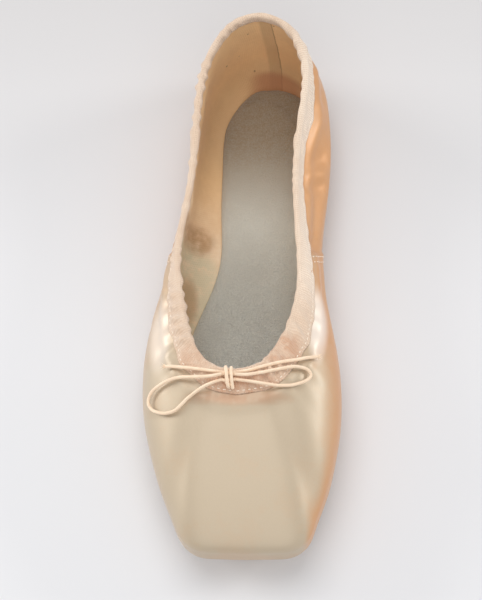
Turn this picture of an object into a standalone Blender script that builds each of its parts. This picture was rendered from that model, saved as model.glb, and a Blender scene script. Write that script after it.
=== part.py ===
"""A satin pointe shoe standing empty on its sole: upper, binding, outsole, sock and drawstring bow.

Metres, +Z up. The toe points along -Y and the heel along +Y. The origin is on the floor, under the
middle of the shoe. Left and right are those of someone who looks from the toe towards the heel.
"""
import math

import bmesh
import bpy
import numpy as np
from mathutils import Vector

# Driving sizes of the shoe
LENGTH = 0.241
PLATFORM_WIDTH = 0.052
BALL_WIDTH = 0.084
HEEL_WIDTH = 0.060
COLLAR_WIDTH = 0.050
VAMP_LENGTH = 0.071
HEEL_INSET = 0.0025
THROAT_HEIGHT = 0.048
WAIST_HEIGHT = 0.0385
HEEL_HEIGHT = 0.052
GIRTH_HEIGHT = 0.020

# Thicknesses, laps and clearances
WALL = 0.002
SOLE_THICKNESS = 0.002
SOCK_THICKNESS = 0.0022
TAPE_THICKNESS = 0.0007
TAPE_WIDTH = 0.0098
SOLE_MARGIN = 0.002
SOLE_LAP = 0.008
GAP = 0.0003
SOCK_GAP = 0.0006
TAPE_GAP = 0.0004

# The drawstring and its knot
CORD_DIAMETER = 0.002
CORD_SPACING = 0.005
KNOT_SIZE = (0.0048, 0.0084, 0.0046)
KNOT_PLACE = (-0.0046, -0.0532, 0.0516)

# Heights of the sole line
TOE_SPRING = 0.0025
ARCH_RISE = 0.0022
TOE_LIFT = 0.005

# How the box's crown falls towards its edge, and how finely the shell is divided
CROWN_FALL = 1.15
STEPS = 2
RINGS = 16
TURN_WEIGHT = 0.007
PATH_SAMPLES = 96

HALF_LENGTH = LENGTH / 2
TOE = PLATFORM_WIDTH / 2
BALL = BALL_WIDTH / 2
HEEL = HEEL_WIDTH / 2
COLLAR = COLLAR_WIDTH / 2
THROAT_Y = VAMP_LENGTH - HALF_LENGTH
COLLAR_BACK_Y = HALF_LENGTH - HEEL_INSET
TOE_FAN_Y = -0.51 * HALF_LENGTH
HEEL_FAN_Y = 0.71 * HALF_LENGTH

# A row for each pair of ribs, from the middle of the toe to the middle of the heel.
# along: place of the widest line, as a share of HALF_LENGTH; half: the half width that the row follows
# left, right: the widest line's reach, as shares of that half width
# girth: its height, as a share of GIRTH_HEIGHT
# collar: place of the collar's edge, 0 at the throat and 1 at the back; c_left, c_right: shares of COLLAR
# rise: the collar's height, -1 at THROAT_HEIGHT, 0 at WAIST_HEIGHT and 1 at HEEL_HEIGHT
# edge: height of the crown's rim over the widest line, as a share of the collar's height over it
# n_left, n_right, wall: exponents of the section above the widest line; feather: that of the section below
# lift: how far the underside has risen, as a share of TOE_LIFT
# s_left, s_right: the sock's reach from the spine, as shares of the widest line's reach
COLUMNS = ("along half left right girth collar c_left c_right rise edge n_left n_right wall feather lift"
           " s_left s_right").split()
SECTIONS = (
    (-1.000, TOE, 0.09, 0.09, 1.35, 0.000, -0.10, -0.10, -1.00, 0.29, 14.0, 14.0, 2.0, 6.0, 1.00, 0.58, 0.58),
    (-0.998, TOE, -0.35, 0.53, 1.35, 0.002, -0.21, 0.01, -1.00, 0.29, 14.0, 14.0, 2.0, 6.0, 1.00, 0.58, 0.58),
    (-0.988, TOE, -0.68, 0.86, 1.35, 0.004, -0.31, 0.11, -1.00, 0.30, 12.0, 12.0, 2.0, 6.0, 0.95, 0.58, 0.58),
    (-0.957, TOE, -0.88, 1.06, 1.32, 0.008, -0.40, 0.20, -1.00, 0.33, 9.0, 9.0, 2.1, 5.0, 0.85, 0.60, 0.60),
    (-0.882, BALL, -0.655, 0.745, 1.25, 0.014, -0.49, 0.29, -0.98, 0.39, 6.0, 6.0, 2.3, 4.5, 0.60, 0.64, 0.64),
    (-0.768, BALL, -0.785, 0.853, 1.17, 0.025, -0.58, 0.39, -0.95, 0.52, 4.2, 4.2, 2.6, 4.0, 0.35, 0.70, 0.70),
    (-0.651, BALL, -0.888, 0.928, 1.10, 0.042, -0.68, 0.50, -0.90, 0.64, 3.2, 3.2, 2.6, 3.5, 0.20, 0.74, 0.75),
    (-0.515, BALL, -0.976, 0.981, 1.03, 0.069, -0.79, 0.61, -0.80, 0.76, 2.6, 2.7, 2.4, 3.2, 0.08, 0.745, 0.775),
    (-0.382, BALL, -1.008, 0.984, 1.00, 0.108, -0.89, 0.75, -0.69, 0.87, 1.8, 2.4, 2.2, 3.0, 0.00, 0.73, 0.77),
    (-0.232, BALL, -0.990, 0.936, 0.95, 0.180, -1.01, 0.89, -0.48, 0.95, 1.15, 1.9, 2.0, 2.8, 0.00, 0.66, 0.77),
    (-0.100, BALL, -0.915, 0.860, 0.92, 0.257, -1.11, 0.97, -0.29, 1.00, 0.95, 1.5, 2.0, 2.6, 0.00, 0.61, 0.77),
    (0.042, HEEL, -1.140, 1.118, 0.90, 0.340, -1.15, 0.975, -0.13, 1.00, 0.9, 1.2, 2.0, 2.5, 0.00, 0.52, 0.76),
    (0.183, HEEL, -0.995, 1.105, 0.90, 0.428, -1.09, 0.94, -0.03, 1.00, 0.9, 0.9, 1.8, 2.4, 0.00, 0.49, 0.75),
    (0.349, HEEL, -0.880, 1.170, 0.93, 0.547, -0.97, 0.90, 0.00, 1.00, 0.9, 0.65, 1.6, 2.5, 0.00, 0.56, 0.74),
    (0.531, HEEL, -0.805, 1.222, 1.00, 0.678, -0.91, 0.94, 0.10, 1.00, 0.9, 0.6, 1.5, 2.7, 0.00, 0.615, 0.74),
    (0.697, HEEL, -0.735, 1.195, 1.08, 0.797, -0.85, 1.04, 0.32, 1.00, 0.9, 0.6, 1.5, 3.0, 0.00, 0.646, 0.79),
    (0.846, HEEL, -0.565, 1.065, 1.10, 0.893, -0.69, 1.02, 0.60, 1.00, 0.9, 0.65, 1.6, 3.0, 0.00, 0.60, 0.75),
    (0.950, HEEL, -0.235, 0.755, 1.10, 0.961, -0.39, 0.78, 0.86, 1.00, 0.9, 0.8, 1.8, 3.0, 0.00, 0.60, 0.66),
    (0.992, HEEL, 0.050, 0.465, 1.10, 0.990, -0.10, 0.50, 0.97, 1.00, 0.9, 0.9, 2.0, 3.0, 0.00, 0.60, 0.61),
    (1.000, HEEL, 0.250, 0.250, 1.10, 1.000, 0.20, 0.20, 1.00, 1.00, 0.9, 0.9, 2.0, 3.0, 0.00, 0.59, 0.59),
)

# The sole's middle line: place as a share of HALF_LENGTH, offset to the right as a share of BALL
SOLE_AXIS = ((-1.00, 0.06), (-0.38, 0.05), (0.25, 0.155), (0.83, 0.225), (1.00, 0.235))

# The sole's height over the floor: place as a share of HALF_LENGTH, shares of TOE_SPRING and ARCH_RISE
SOLE_LINE = (
    (-1.00, 2.2, 0.0), (-0.80, 1.0, 0.0), (-0.62, 0.2, 0.0), (-0.50, 0.0, 0.0), (-0.10, 0.0, 0.0),
    (0.02, 0.0, 0.25), (0.28, 0.0, 1.0), (0.46, 0.0, 0.5), (0.58, 0.0, 0.0), (0.90, 0.0, 0.0), (1.00, 0.0, 0.0),
)

# The bow's routes, in millimetres, each starting at the knot's side. They lie on the tape and the vamp.
MILLIMETRE = 0.001
ROUTES = {
    "loop_left": (
        (-7.4, -52.2, 52.3), (-12.6, -52.7, 51.1), (-19.2, -52.3, 49.2), (-23.9, -51.6, 47.2),
        (-27.9, -51.6, 45.2), (-31.6, -52.4, 42.9), (-34.9, -53.7, 40.4), (-37.0, -55.2, 38.5),
        (-38.1, -57.3, 36.9), (-38.0, -59.8, 36.5), (-36.1, -62.7, 37.9), (-32.2, -64.9, 40.5),
        (-29.0, -65.3, 42.2), (-26.2, -64.6, 43.6), (-23.6, -62.5, 44.9), (-20.8, -60.1, 46.2),
        (-15.3, -56.8, 48.9), (-10.9, -55.0, 50.0), (-7.4, -53.9, 50.3),
    ),
    "end_right": (
        (-1.8, -50.7, 50.3), (2.9, -50.0, 50.4), (7.3, -48.6, 50.2), (12.2, -46.9, 49.6), (17.4, -45.3, 48.6),
        (23.1, -43.7, 47.0), (27.4, -42.0, 44.9), (31.2, -40.8, 42.8),
    ),
    "loop_right": (
        (-1.8, -52.2, 52.1), (2.9, -52.2, 51.7), (9.0, -50.8, 50.6), (13.8, -49.3, 49.5), (18.3, -47.9, 48.4),
        (21.9, -46.9, 47.3), (24.9, -46.6, 45.8), (27.6, -47.2, 44.5), (28.9, -48.9, 43.7),
        (28.2, -50.9, 44.1), (25.4, -53.0, 45.2), (21.6, -54.6, 46.3), (18.3, -55.2, 47.1),
        (15.2, -55.4, 47.8), (10.9, -55.3, 49.2), (4.7, -54.6, 50.2), (0.1, -54.0, 50.3), (-1.8, -53.7, 50.3),
    ),
    "end_left": (
        (-7.4, -50.6, 50.3), (-10.6, -50.2, 50.4), (-15.5, -49.3, 49.9), (-21.4, -48.1, 48.8),
        (-27.9, -46.4, 45.9), (-30.6, -45.9, 44.6),
    ),
}


def table_height(rows, column, y):
    """A column of a small table along the shoe, read with easing between its rows."""
    places = np.array([row[0] for row in rows]) * HALF_LENGTH
    values = np.array([row[column] for row in rows])
    index = np.clip(np.searchsorted(places, y) - 1, 0, len(places) - 2)
    share = np.clip((y - places[index]) / (places[index + 1] - places[index]), 0.0, 1.0)
    eased = share * share * (3 - 2 * share)
    return values[index] + (values[index + 1] - values[index]) * eased


def spine_x(y):
    return BALL * table_height(SOLE_AXIS, 1, y)


def floor_line(y):
    """Height of the outsole's underside."""
    return TOE_SPRING * table_height(SOLE_LINE, 1, y) + ARCH_RISE * table_height(SOLE_LINE, 2, y)


def closed_spline(places, rows, period, at):
    """A smooth closed curve through the rows, read at the given places along it."""
    count = len(places)
    steps = np.diff(np.append(places, places[0] + period))
    before = np.roll(steps, 1)
    slopes = (np.roll(rows, -1, axis=0) - rows) / steps[:, None]
    matrix = np.zeros((count, count))
    for i in range(count):
        matrix[i, i - 1] += before[i]
        matrix[i, i] += 2 * (before[i] + steps[i])
        matrix[i, (i + 1) % count] += steps[i]
    bends = np.linalg.solve(matrix, 6 * (slopes - np.roll(slopes, 1, axis=0)))
    index = np.searchsorted(places, at, side="right") - 1
    after = (index + 1) % count
    step = steps[index][:, None]
    late = (at - places[index])[:, None] / step
    early = 1 - late
    curved = (early**3 - early) * bends[index] + (late**3 - late) * bends[after]
    return early * rows[index] + late * rows[after] + curved * step**2 / 6


def key_rib(row, side):
    """The numbers of one key rib: girth and collar in plan, their heights, exponents, lift and sock share."""
    girth = Vector((row["half"] * row[side], row["along"] * HALF_LENGTH))
    collar_y = THROAT_Y + row["collar"] * (COLLAR_BACK_Y - THROAT_Y)
    collar = Vector((COLLAR * row["c_" + side], collar_y))
    throat_rise = max(-row["rise"], 0.0) * (THROAT_HEIGHT - WAIST_HEIGHT)
    heel_rise = max(row["rise"], 0.0) * (HEEL_HEIGHT - WAIST_HEIGHT)
    return [
        *girth, *collar, row["girth"] * GIRTH_HEIGHT, WAIST_HEIGHT + throat_rise + heel_rise,
        row["edge"], row["n_" + side], row["wall"], row["feather"], row["lift"] * TOE_LIFT, row["s_" + side],
    ]


def ribs(steps):
    """All the ribs, from the middle of the toe round by the right side and the heel."""
    table = [dict(zip(COLUMNS, row)) for row in SECTIONS]
    keys = [key_rib(row, "right") for row in table]
    keys += [key_rib(row, "left") for row in table[-2:0:-1]]
    keys = np.array(keys)
    chords = np.linalg.norm(np.roll(keys[:, :2], -1, axis=0) - keys[:, :2], axis=1)
    ends = np.cumsum(chords)
    places = ends - chords
    shares = np.arange(steps) / steps
    at = (places[:, None] + chords[:, None] * shares[None, :]).ravel()
    rows = closed_spline(places, keys, ends[-1], at)
    partners = -np.arange(len(rows)) % len(rows)
    spine_y = np.clip((rows[:, 1] + rows[partners, 1]) / 2, TOE_FAN_Y, HEEL_FAN_Y)
    return [Rib(row, (float(spine_x(y)), y)) for row, y in zip(rows, spine_y)]


class Rib:
    """One section of the shoe, from the collar's edge down to the edge of the sole opening."""

    def __init__(self, row, spine):
        self.girth = row[0:2]
        self.collar = row[2:4]
        self.girth_z, self.collar_z, self.edge, self.crown, self.wall, self.feather, self.lift = row[4:11]
        self.spine = np.array(spine)
        self.reach = float(np.linalg.norm(self.girth - self.spine))
        self.outward = (self.girth - self.spine) / self.reach
        self.sock = row[11] * self.reach
        self.sole = self.sock + SOLE_MARGIN
        self.opening = self.sole - SOLE_LAP

    def underside(self, reach):
        """Height of the shell's outer face under the foot, at these distances from the spine."""
        reach = np.asarray(reach, float)
        share = np.clip((reach - self.opening) / (self.reach - self.opening), 0.0, 1.0)
        y = self.spine[1] + self.outward[1] * reach
        flat = floor_line(y) + SOLE_THICKNESS + GAP + self.lift * share**2
        drop = (1 - share**self.feather) ** (1 / self.feather)
        return self.girth_z - (self.girth_z - flat) * drop

    def seat(self, reach):
        """Height of the shell's inner face under the foot."""
        step = WALL / 4
        slope = (self.underside(reach + step) - self.underside(reach - step)) / (2 * step)
        return float(self.underside(reach) + WALL * math.hypot(1.0, slope))

    def path(self):
        """The section as a fine line of points."""
        even = np.linspace(0, 1, PATH_SAMPLES + 1)
        turn = 0.5 * math.pi * even ** (self.crown / 2)
        share = np.sin(turn) ** (2 / self.crown)
        rise = (self.collar_z - self.girth_z) * (1 + (self.edge - 1) * share**CROWN_FALL)
        plan = self.collar + (self.girth - self.collar) * share[:, None]
        height = self.girth_z + rise * np.abs(np.cos(turn)) ** (2 / self.wall)
        above = np.column_stack([plan, height])
        turn = 0.5 * math.pi * even ** (self.feather / 2)
        share = np.sin(turn[::-1]) ** (2 / self.feather)
        reach = self.opening + (self.reach - self.opening) * share
        plan = self.spine + self.outward * reach[:, None]
        below = np.column_stack([plan, self.underside(reach)])
        return np.vstack([above, below[1:]])

    def points(self, rings):
        """The section divided into rings: two under the tape, and the rest closer where it turns."""
        path = self.path()
        steps = np.diff(path, axis=0)
        lengths = np.linalg.norm(steps, axis=1)
        headings = steps / lengths[:, None]
        cosines = np.clip((headings[1:] * headings[:-1]).sum(axis=1), -1.0, 1.0)
        turns = np.append(0.0, np.arccos(cosines))
        measure = np.append(0.0, np.cumsum(lengths + TURN_WEIGHT * turns))
        tape = np.interp((0.0, TAPE_WIDTH / 2, TAPE_WIDTH), np.append(0.0, np.cumsum(lengths)), measure)
        at = np.append(tape[:2], np.linspace(tape[2], measure[-1], rings - 1))
        return np.column_stack([np.interp(at, measure, path[:, k]) for k in range(3)])

    def near_collar(self, distance):
        """The point of the section that lies this far from the collar's edge, along the surface."""
        path = self.path()
        lengths = np.linalg.norm(np.diff(path, axis=0), axis=1)
        measure = np.append(0.0, np.cumsum(lengths))
        return np.array([np.interp(distance, measure, path[:, k]) for k in range(3)])


def material(name, colour, roughness):
    made = bpy.data.materials.new(name)
    made.use_nodes = True
    shader = made.node_tree.nodes["Principled BSDF"]
    shader.inputs["Base Color"].default_value = (*colour, 1.0)
    shader.inputs["Roughness"].default_value = roughness
    shader.inputs["Metallic"].default_value = 0.0
    return made


def add_object(name, mesh, finish, collection):
    piece = bpy.data.objects.new(name, mesh)
    collection.objects.link(piece)
    mesh.materials.append(finish)
    mesh.shade_smooth()
    mesh.set_sharp_from_angle(angle=math.radians(40))
    return piece


def wrapped_grid(name, rows):
    """A grid whose columns go once round the shoe. rows[i][j] is the point of column i and ring j."""
    around = len(rows)
    across = len(rows[0]) - 1
    bm = bmesh.new()
    bmesh.ops.create_grid(bm, x_segments=around, y_segments=across, size=0.5)
    for vertex in bm.verts:
        i = round((vertex.co.x + 0.5) * around)
        j = round((vertex.co.y + 0.5) * across)
        vertex.co = rows[i % around][j]
    bmesh.ops.remove_doubles(bm, verts=bm.verts, dist=1e-7)
    mesh = bpy.data.meshes.new(name)
    bm.to_mesh(mesh)
    bm.free()
    return mesh


def solidify(piece, thickness, offset):
    wall = piece.modifiers.new("wall", "SOLIDIFY")
    wall.thickness = thickness
    wall.offset = offset
    wall.use_even_offset = True
    wall.use_quality_normals = True
    wall.use_rim = True


def make_upper(sections, collection):
    """The hollow shell, from its outer face inwards."""
    mesh = wrapped_grid("upper", [rib.points(RINGS)[::-1] for rib in sections])
    satin = material("satin", (0.62, 0.46, 0.33), 0.35)
    solidify(add_object("upper", mesh, satin, collection), WALL, -1.0)


def make_binding(sections, collection):
    """The tape folded over the collar's edge: its outer leg, its fold and its inner leg."""
    outer = TAPE_GAP + TAPE_THICKNESS / 2
    inner = -(WALL + 2.5 * TAPE_GAP + TAPE_THICKNESS / 2)
    fold = TAPE_GAP + TAPE_THICKNESS * 0.8
    legs = (TAPE_WIDTH, TAPE_WIDTH / 2, 0.0)
    lines = {}
    for far in legs:
        base = np.array([rib.near_collar(far) for rib in sections])
        down = np.array([rib.near_collar(far + TAPE_WIDTH / 8) for rib in sections])
        down -= np.array([rib.near_collar(max(far - TAPE_WIDTH / 8, 0.0)) for rib in sections])
        down /= np.linalg.norm(down, axis=1)[:, None]
        normal = np.cross(down, np.roll(base, -1, axis=0) - np.roll(base, 1, axis=0))
        lines[far] = base, down, normal / np.linalg.norm(normal, axis=1)[:, None]
    profile = [(legs[0], outer), (legs[1], outer), (0.0, outer), (0.0, 0.0), (0.0, -WALL - TAPE_GAP)]
    profile += [(0.0, inner), (legs[1], inner), (legs[0], inner)]
    rings = []
    for place, (far, out) in enumerate(profile):
        base, down, normal = lines[far]
        over = fold if place in (3, 4) else fold / 4 if place in (2, 5) else 0.0
        rings.append(base + normal * out - down * over)
    mesh = wrapped_grid("binding", [[ring[i] for ring in rings] for i in range(len(sections))])
    cotton = material("binding cotton", (0.72, 0.55, 0.42), 0.8)
    solidify(add_object("binding", mesh, cotton, collection), TAPE_THICKNESS, 0.0)


def plate_point(rib, reach, height):
    plan = rib.spine + rib.outward * reach
    return (plan[0], plan[1], height)


def make_outsole(sections, collection):
    """The leather sole. Its middle rises into the opening of the upper and fills it."""
    columns = []
    for rib in sections:
        island = rib.opening - GAP - WALL / 2
        reaches = (0.0, 0.6 * rib.sole, rib.sole)
        ground = [plate_point(rib, r, float(floor_line(rib.spine[1] + rib.outward[1] * r))) for r in reaches]
        levels = [(rib.sole, 0.0), (island, 0.0), (island, WALL), (0.5 * island, WALL), (0.0, WALL)]
        top = [
            plate_point(rib, r, float(floor_line(rib.spine[1] + rib.outward[1] * r)) + SOLE_THICKNESS + up)
            for r, up in levels
        ]
        columns.append(ground + top)
    mesh = wrapped_grid("outsole", columns)
    leather = material("sole leather", (0.42, 0.28, 0.18), 0.6)
    add_object("outsole", mesh, leather, collection)


def make_sock(sections, collection):
    """The suede insole, lying on the shell's lasted margin and on the sole's middle."""
    columns = []
    for rib in sections:
        reaches = (0.0, 0.5 * rib.opening, rib.opening, (rib.opening + rib.sock) / 2, rib.sock)
        seat = [rib.seat(r) + SOCK_GAP for r in reaches]
        under = [plate_point(rib, r, z) for r, z in zip(reaches, seat)]
        over = [plate_point(rib, r, z + SOCK_THICKNESS) for r, z in zip(reaches, seat)]
        columns.append(under + over[::-1])
    mesh = wrapped_grid("sock", columns)
    suede = material("grey suede", (0.36, 0.34, 0.30), 0.95)
    add_object("sock", mesh, suede, collection)


def smooth_route(points, spacing):
    """Points evenly spaced along a smooth curve through the route's own points."""
    knots = np.array(points) * MILLIMETRE
    knots = np.vstack([2 * knots[0] - knots[1], knots, 2 * knots[-1] - knots[-2]])
    fine = [knots[1]]
    for before, start, end, after in zip(knots, knots[1:], knots[2:], knots[3:]):
        for share in np.linspace(0, 1, 13)[1:]:
            bend = (2 * before - 5 * start + 4 * end - after) * share**2
            twist = (3 * start - before - 3 * end + after) * share**3
            fine.append(start + ((end - before) * share + bend + twist) / 2)
    fine = np.array(fine)
    measure = np.append(0.0, np.cumsum(np.linalg.norm(np.diff(fine, axis=0), axis=1)))
    at = np.linspace(0, measure[-1], round(measure[-1] / spacing) + 1)
    return np.column_stack([np.interp(at, measure, fine[:, k]) for k in range(3)])


def make_cord(name, route, finish, collection):
    """A stretch of the drawstring, as a tube with closed ends."""
    curve = bpy.data.curves.new(name, "CURVE")
    curve.dimensions = "3D"
    curve.bevel_depth = CORD_DIAMETER / 2
    curve.bevel_resolution = 2
    curve.use_fill_caps = True
    points = smooth_route(route, CORD_SPACING)
    spline = curve.splines.new("POLY")
    spline.points.add(len(points) - 1)
    for slot, point in zip(spline.points, points):
        slot.co = (*point, 1.0)
    curve.materials.append(finish)
    collection.objects.link(bpy.data.objects.new(name, curve))


def make_knot(finish, collection):
    """The knot at the middle of the throat, with the cord wrapped upright round the bow's strands."""
    bm = bmesh.new()
    bmesh.ops.create_uvsphere(bm, u_segments=14, v_segments=8, radius=0.5)
    bmesh.ops.scale(bm, vec=KNOT_SIZE, verts=bm.verts)
    mesh = bpy.data.meshes.new("knot")
    bm.to_mesh(mesh)
    bm.free()
    add_object("knot", mesh, finish, collection).location = KNOT_PLACE


def clear_scene():
    for old in list(bpy.data.objects):
        bpy.data.objects.remove(old)


def main():
    clear_scene()
    shoe = bpy.data.collections.new("pointe shoe")
    bpy.context.scene.collection.children.link(shoe)
    sections = ribs(STEPS)
    make_upper(sections, shoe)
    make_binding(sections, shoe)
    make_outsole(sections, shoe)
    make_sock(sections, shoe)
    cord = material("drawstring", (0.80, 0.62, 0.46), 0.7)
    make_knot(cord, shoe)
    for name, route in ROUTES.items():
        make_cord(name, route, cord, shoe)


main()
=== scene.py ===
"""The looks of a satin pointe shoe, laid out as a Blender add-on and run as a script.

Metres, +Z up. The toe points along -Y and the heel along +Y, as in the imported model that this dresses.
Left and right are those of someone who looks from the toe towards the heel.
"""
import math

import bmesh
import bpy
import numpy as np
from bpy.props import FloatProperty, FloatVectorProperty, IntProperty, PointerProperty
from mathutils import Matrix, Vector, noise


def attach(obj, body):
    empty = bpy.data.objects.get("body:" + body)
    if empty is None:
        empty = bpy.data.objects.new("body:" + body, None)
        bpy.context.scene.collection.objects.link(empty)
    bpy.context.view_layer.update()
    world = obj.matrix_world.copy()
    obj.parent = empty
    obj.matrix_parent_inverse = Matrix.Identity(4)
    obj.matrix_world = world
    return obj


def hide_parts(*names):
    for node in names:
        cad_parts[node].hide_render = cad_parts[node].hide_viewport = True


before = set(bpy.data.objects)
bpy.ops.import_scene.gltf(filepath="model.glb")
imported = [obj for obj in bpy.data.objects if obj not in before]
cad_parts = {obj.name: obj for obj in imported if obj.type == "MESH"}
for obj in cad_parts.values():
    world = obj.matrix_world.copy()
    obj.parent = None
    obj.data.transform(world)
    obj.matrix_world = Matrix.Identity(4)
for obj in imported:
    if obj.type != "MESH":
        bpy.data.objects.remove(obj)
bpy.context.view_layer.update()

bl_info = {
    "name": "Pointe Shoe",
    "version": (1, 0, 0),
    "blender": (4, 5, 0),
    "location": "3D Viewport > Sidebar > Shoe",
    "description": "Dresses a packed pointe shoe in satin, cotton tape, suede and leather",
    "category": "Object",
}

MM = 0.001

# Driving sizes of the shoe, as in the solids
LENGTH = 0.241
PLATFORM_WIDTH = 0.052
BALL_WIDTH = 0.084
HEEL_WIDTH = 0.060
COLLAR_WIDTH = 0.050
VAMP_LENGTH = 0.071
HEEL_INSET = 0.0025
THROAT_HEIGHT = 0.048
WAIST_HEIGHT = 0.0385
HEEL_HEIGHT = 0.052
GIRTH_HEIGHT = 0.020
WALL = 0.002
SOLE_THICKNESS = 0.002
SOCK_THICKNESS = 0.0022
TAPE_WIDTH = 0.0098
SOLE_MARGIN = 0.002
SOLE_LAP = 0.008
GAP = 0.0003
SOCK_GAP = 0.0006
TAPE_GAP = 0.0004
TOE_SPRING = 0.0025
ARCH_RISE = 0.0022
TOE_LIFT = 0.005
CROWN_FALL = 1.15
TURN_WEIGHT = 0.007
PATH_SAMPLES = 192

# The drawstring as it shows, thinner than its solid, and the rings and length of its ends
CORD_DIAMETER = 0.0014
CAP_RINGS = 4
CAP_LENGTH = 0.8

# Top of the side seam, its slant towards the heel, and the slant of the seam inside the heel
SEAM_TOP_Y = 0.0090
SEAM_TOP_Z = 0.0366
SEAM_SLANT = 0.47
HEEL_SEAM_SLANT = 0.0954

# Clearances between the cloth layers, the tape's join, turned-in leg and hem, the sock's skived edge,
# and the step over which a stitch reads its direction
LINING_GAP = 0.0001
TAPE_CLEAR = 0.00015
TAPE_JOIN = 0.163
TAPE_TURN = 0.0032
HEM = 0.0014
SOCK_SKIVE = 0.0042
STITCH_STEP = 0.0004

HALF_LENGTH = LENGTH / 2
TOE = PLATFORM_WIDTH / 2
BALL = BALL_WIDTH / 2
HEEL = HEEL_WIDTH / 2
COLLAR = COLLAR_WIDTH / 2
THROAT_Y = VAMP_LENGTH - HALF_LENGTH
COLLAR_BACK_Y = HALF_LENGTH - HEEL_INSET
TOE_FAN_Y = -0.51 * HALF_LENGTH
HEEL_FAN_Y = 0.71 * HALF_LENGTH

# A row for each pair of key ribs, from the middle of the toe to the middle of the heel, as in the solids
COLUMNS = ("along half left right girth collar c_left c_right rise edge n_left n_right wall feather lift"
           " s_left s_right").split()
SECTIONS = (
    (-1.00, TOE, 0.09, 0.09, 1.35, 0.00, -0.1, -0.1, -1.0, 0.29, 14.0, 14.0, 2.0, 6.0, 1.0, 0.58, 0.58),
    (-0.998, TOE, -0.35, 0.53, 1.35, 0.002, -0.21, 0.01, -1.0, 0.29, 14.0, 14.0, 2.0, 6.0, 1.0, 0.58, 0.58),
    (-0.988, TOE, -0.68, 0.86, 1.35, 0.004, -0.31, 0.11, -1.0, 0.3, 12.0, 12.0, 2.0, 6.0, 0.95, 0.58, 0.58),
    (-0.957, TOE, -0.88, 1.06, 1.32, 0.008, -0.4, 0.2, -1.0, 0.33, 9.0, 9.0, 2.1, 5.0, 0.85, 0.6, 0.6),
    (-0.882, BALL, -0.655, 0.745, 1.25, 0.014, -0.49, 0.29, -0.98, 0.39, 6.0, 6.0, 2.3, 4.5, 0.6, 0.64, 0.64),
    (-0.768, BALL, -0.785, 0.853, 1.17, 0.025, -0.58, 0.39, -0.95, 0.52, 4.2, 4.2, 2.6, 4.0, 0.35, 0.7, 0.7),
    (-0.651, BALL, -0.888, 0.928, 1.1, 0.042, -0.68, 0.5, -0.9, 0.64, 3.2, 3.2, 2.6, 3.5, 0.2, 0.74, 0.75),
    (-0.515, BALL, -0.976, 0.981, 1.03, 0.069, -0.79, 0.61, -0.8, 0.76, 2.6, 2.7, 2.4, 3.2, 0.08, 0.745, 0.775),
    (-0.382, BALL, -1.008, 0.984, 1.0, 0.108, -0.89, 0.75, -0.69, 0.87, 1.8, 2.4, 2.2, 3.0, 0.0, 0.73, 0.77),
    (-0.232, BALL, -0.99, 0.936, 0.95, 0.18, -1.01, 0.89, -0.48, 0.95, 1.15, 1.9, 2.0, 2.8, 0.0, 0.66, 0.77),
    (-0.10, BALL, -0.915, 0.86, 0.92, 0.257, -1.11, 0.97, -0.29, 1.0, 0.95, 1.5, 2.0, 2.6, 0.0, 0.61, 0.77),
    (0.042, HEEL, -1.14, 1.118, 0.9, 0.34, -1.15, 0.975, -0.13, 1.0, 0.9, 1.2, 2.0, 2.5, 0.0, 0.52, 0.76),
    (0.183, HEEL, -0.995, 1.105, 0.9, 0.428, -1.09, 0.94, -0.03, 1.0, 0.9, 0.9, 1.8, 2.4, 0.0, 0.49, 0.75),
    (0.349, HEEL, -0.88, 1.17, 0.93, 0.547, -0.97, 0.9, 0.0, 1.0, 0.9, 0.65, 1.6, 2.5, 0.0, 0.56, 0.74),
    (0.531, HEEL, -0.805, 1.222, 1.0, 0.678, -0.91, 0.94, 0.1, 1.0, 0.9, 0.6, 1.5, 2.7, 0.0, 0.615, 0.74),
    (0.697, HEEL, -0.735, 1.195, 1.08, 0.797, -0.85, 1.04, 0.32, 1.0, 0.9, 0.6, 1.5, 3.0, 0.0, 0.646, 0.79),
    (0.846, HEEL, -0.565, 1.065, 1.1, 0.893, -0.69, 1.02, 0.6, 1.0, 0.9, 0.65, 1.6, 3.0, 0.0, 0.6, 0.75),
    (0.95, HEEL, -0.235, 0.755, 1.1, 0.961, -0.39, 0.78, 0.86, 1.0, 0.9, 0.8, 1.8, 3.0, 0.0, 0.6, 0.66),
    (0.992, HEEL, 0.05, 0.465, 1.1, 0.99, -0.1, 0.5, 0.97, 1.0, 0.9, 0.9, 2.0, 3.0, 0.0, 0.6, 0.61),
    (1.00, HEEL, 0.25, 0.25, 1.1, 1.00, 0.2, 0.2, 1.0, 1.0, 0.9, 0.9, 2.0, 3.0, 0.0, 0.59, 0.59),
)
SOLE_AXIS = ((-1.00, 0.06), (-0.38, 0.05), (0.25, 0.155), (0.83, 0.225), (1.00, 0.235))
SOLE_LINE = (
    (-1.00, 2.2, 0.0), (-0.80, 1.0, 0.0), (-0.62, 0.2, 0.0), (-0.50, 0.0, 0.0), (-0.10, 0.0, 0.0),
    (0.02, 0.0, 0.25), (0.28, 0.0, 1.0), (0.46, 0.0, 0.5), (0.58, 0.0, 0.0), (0.90, 0.0, 0.0),
    (1.00, 0.0, 0.0),
)

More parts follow.
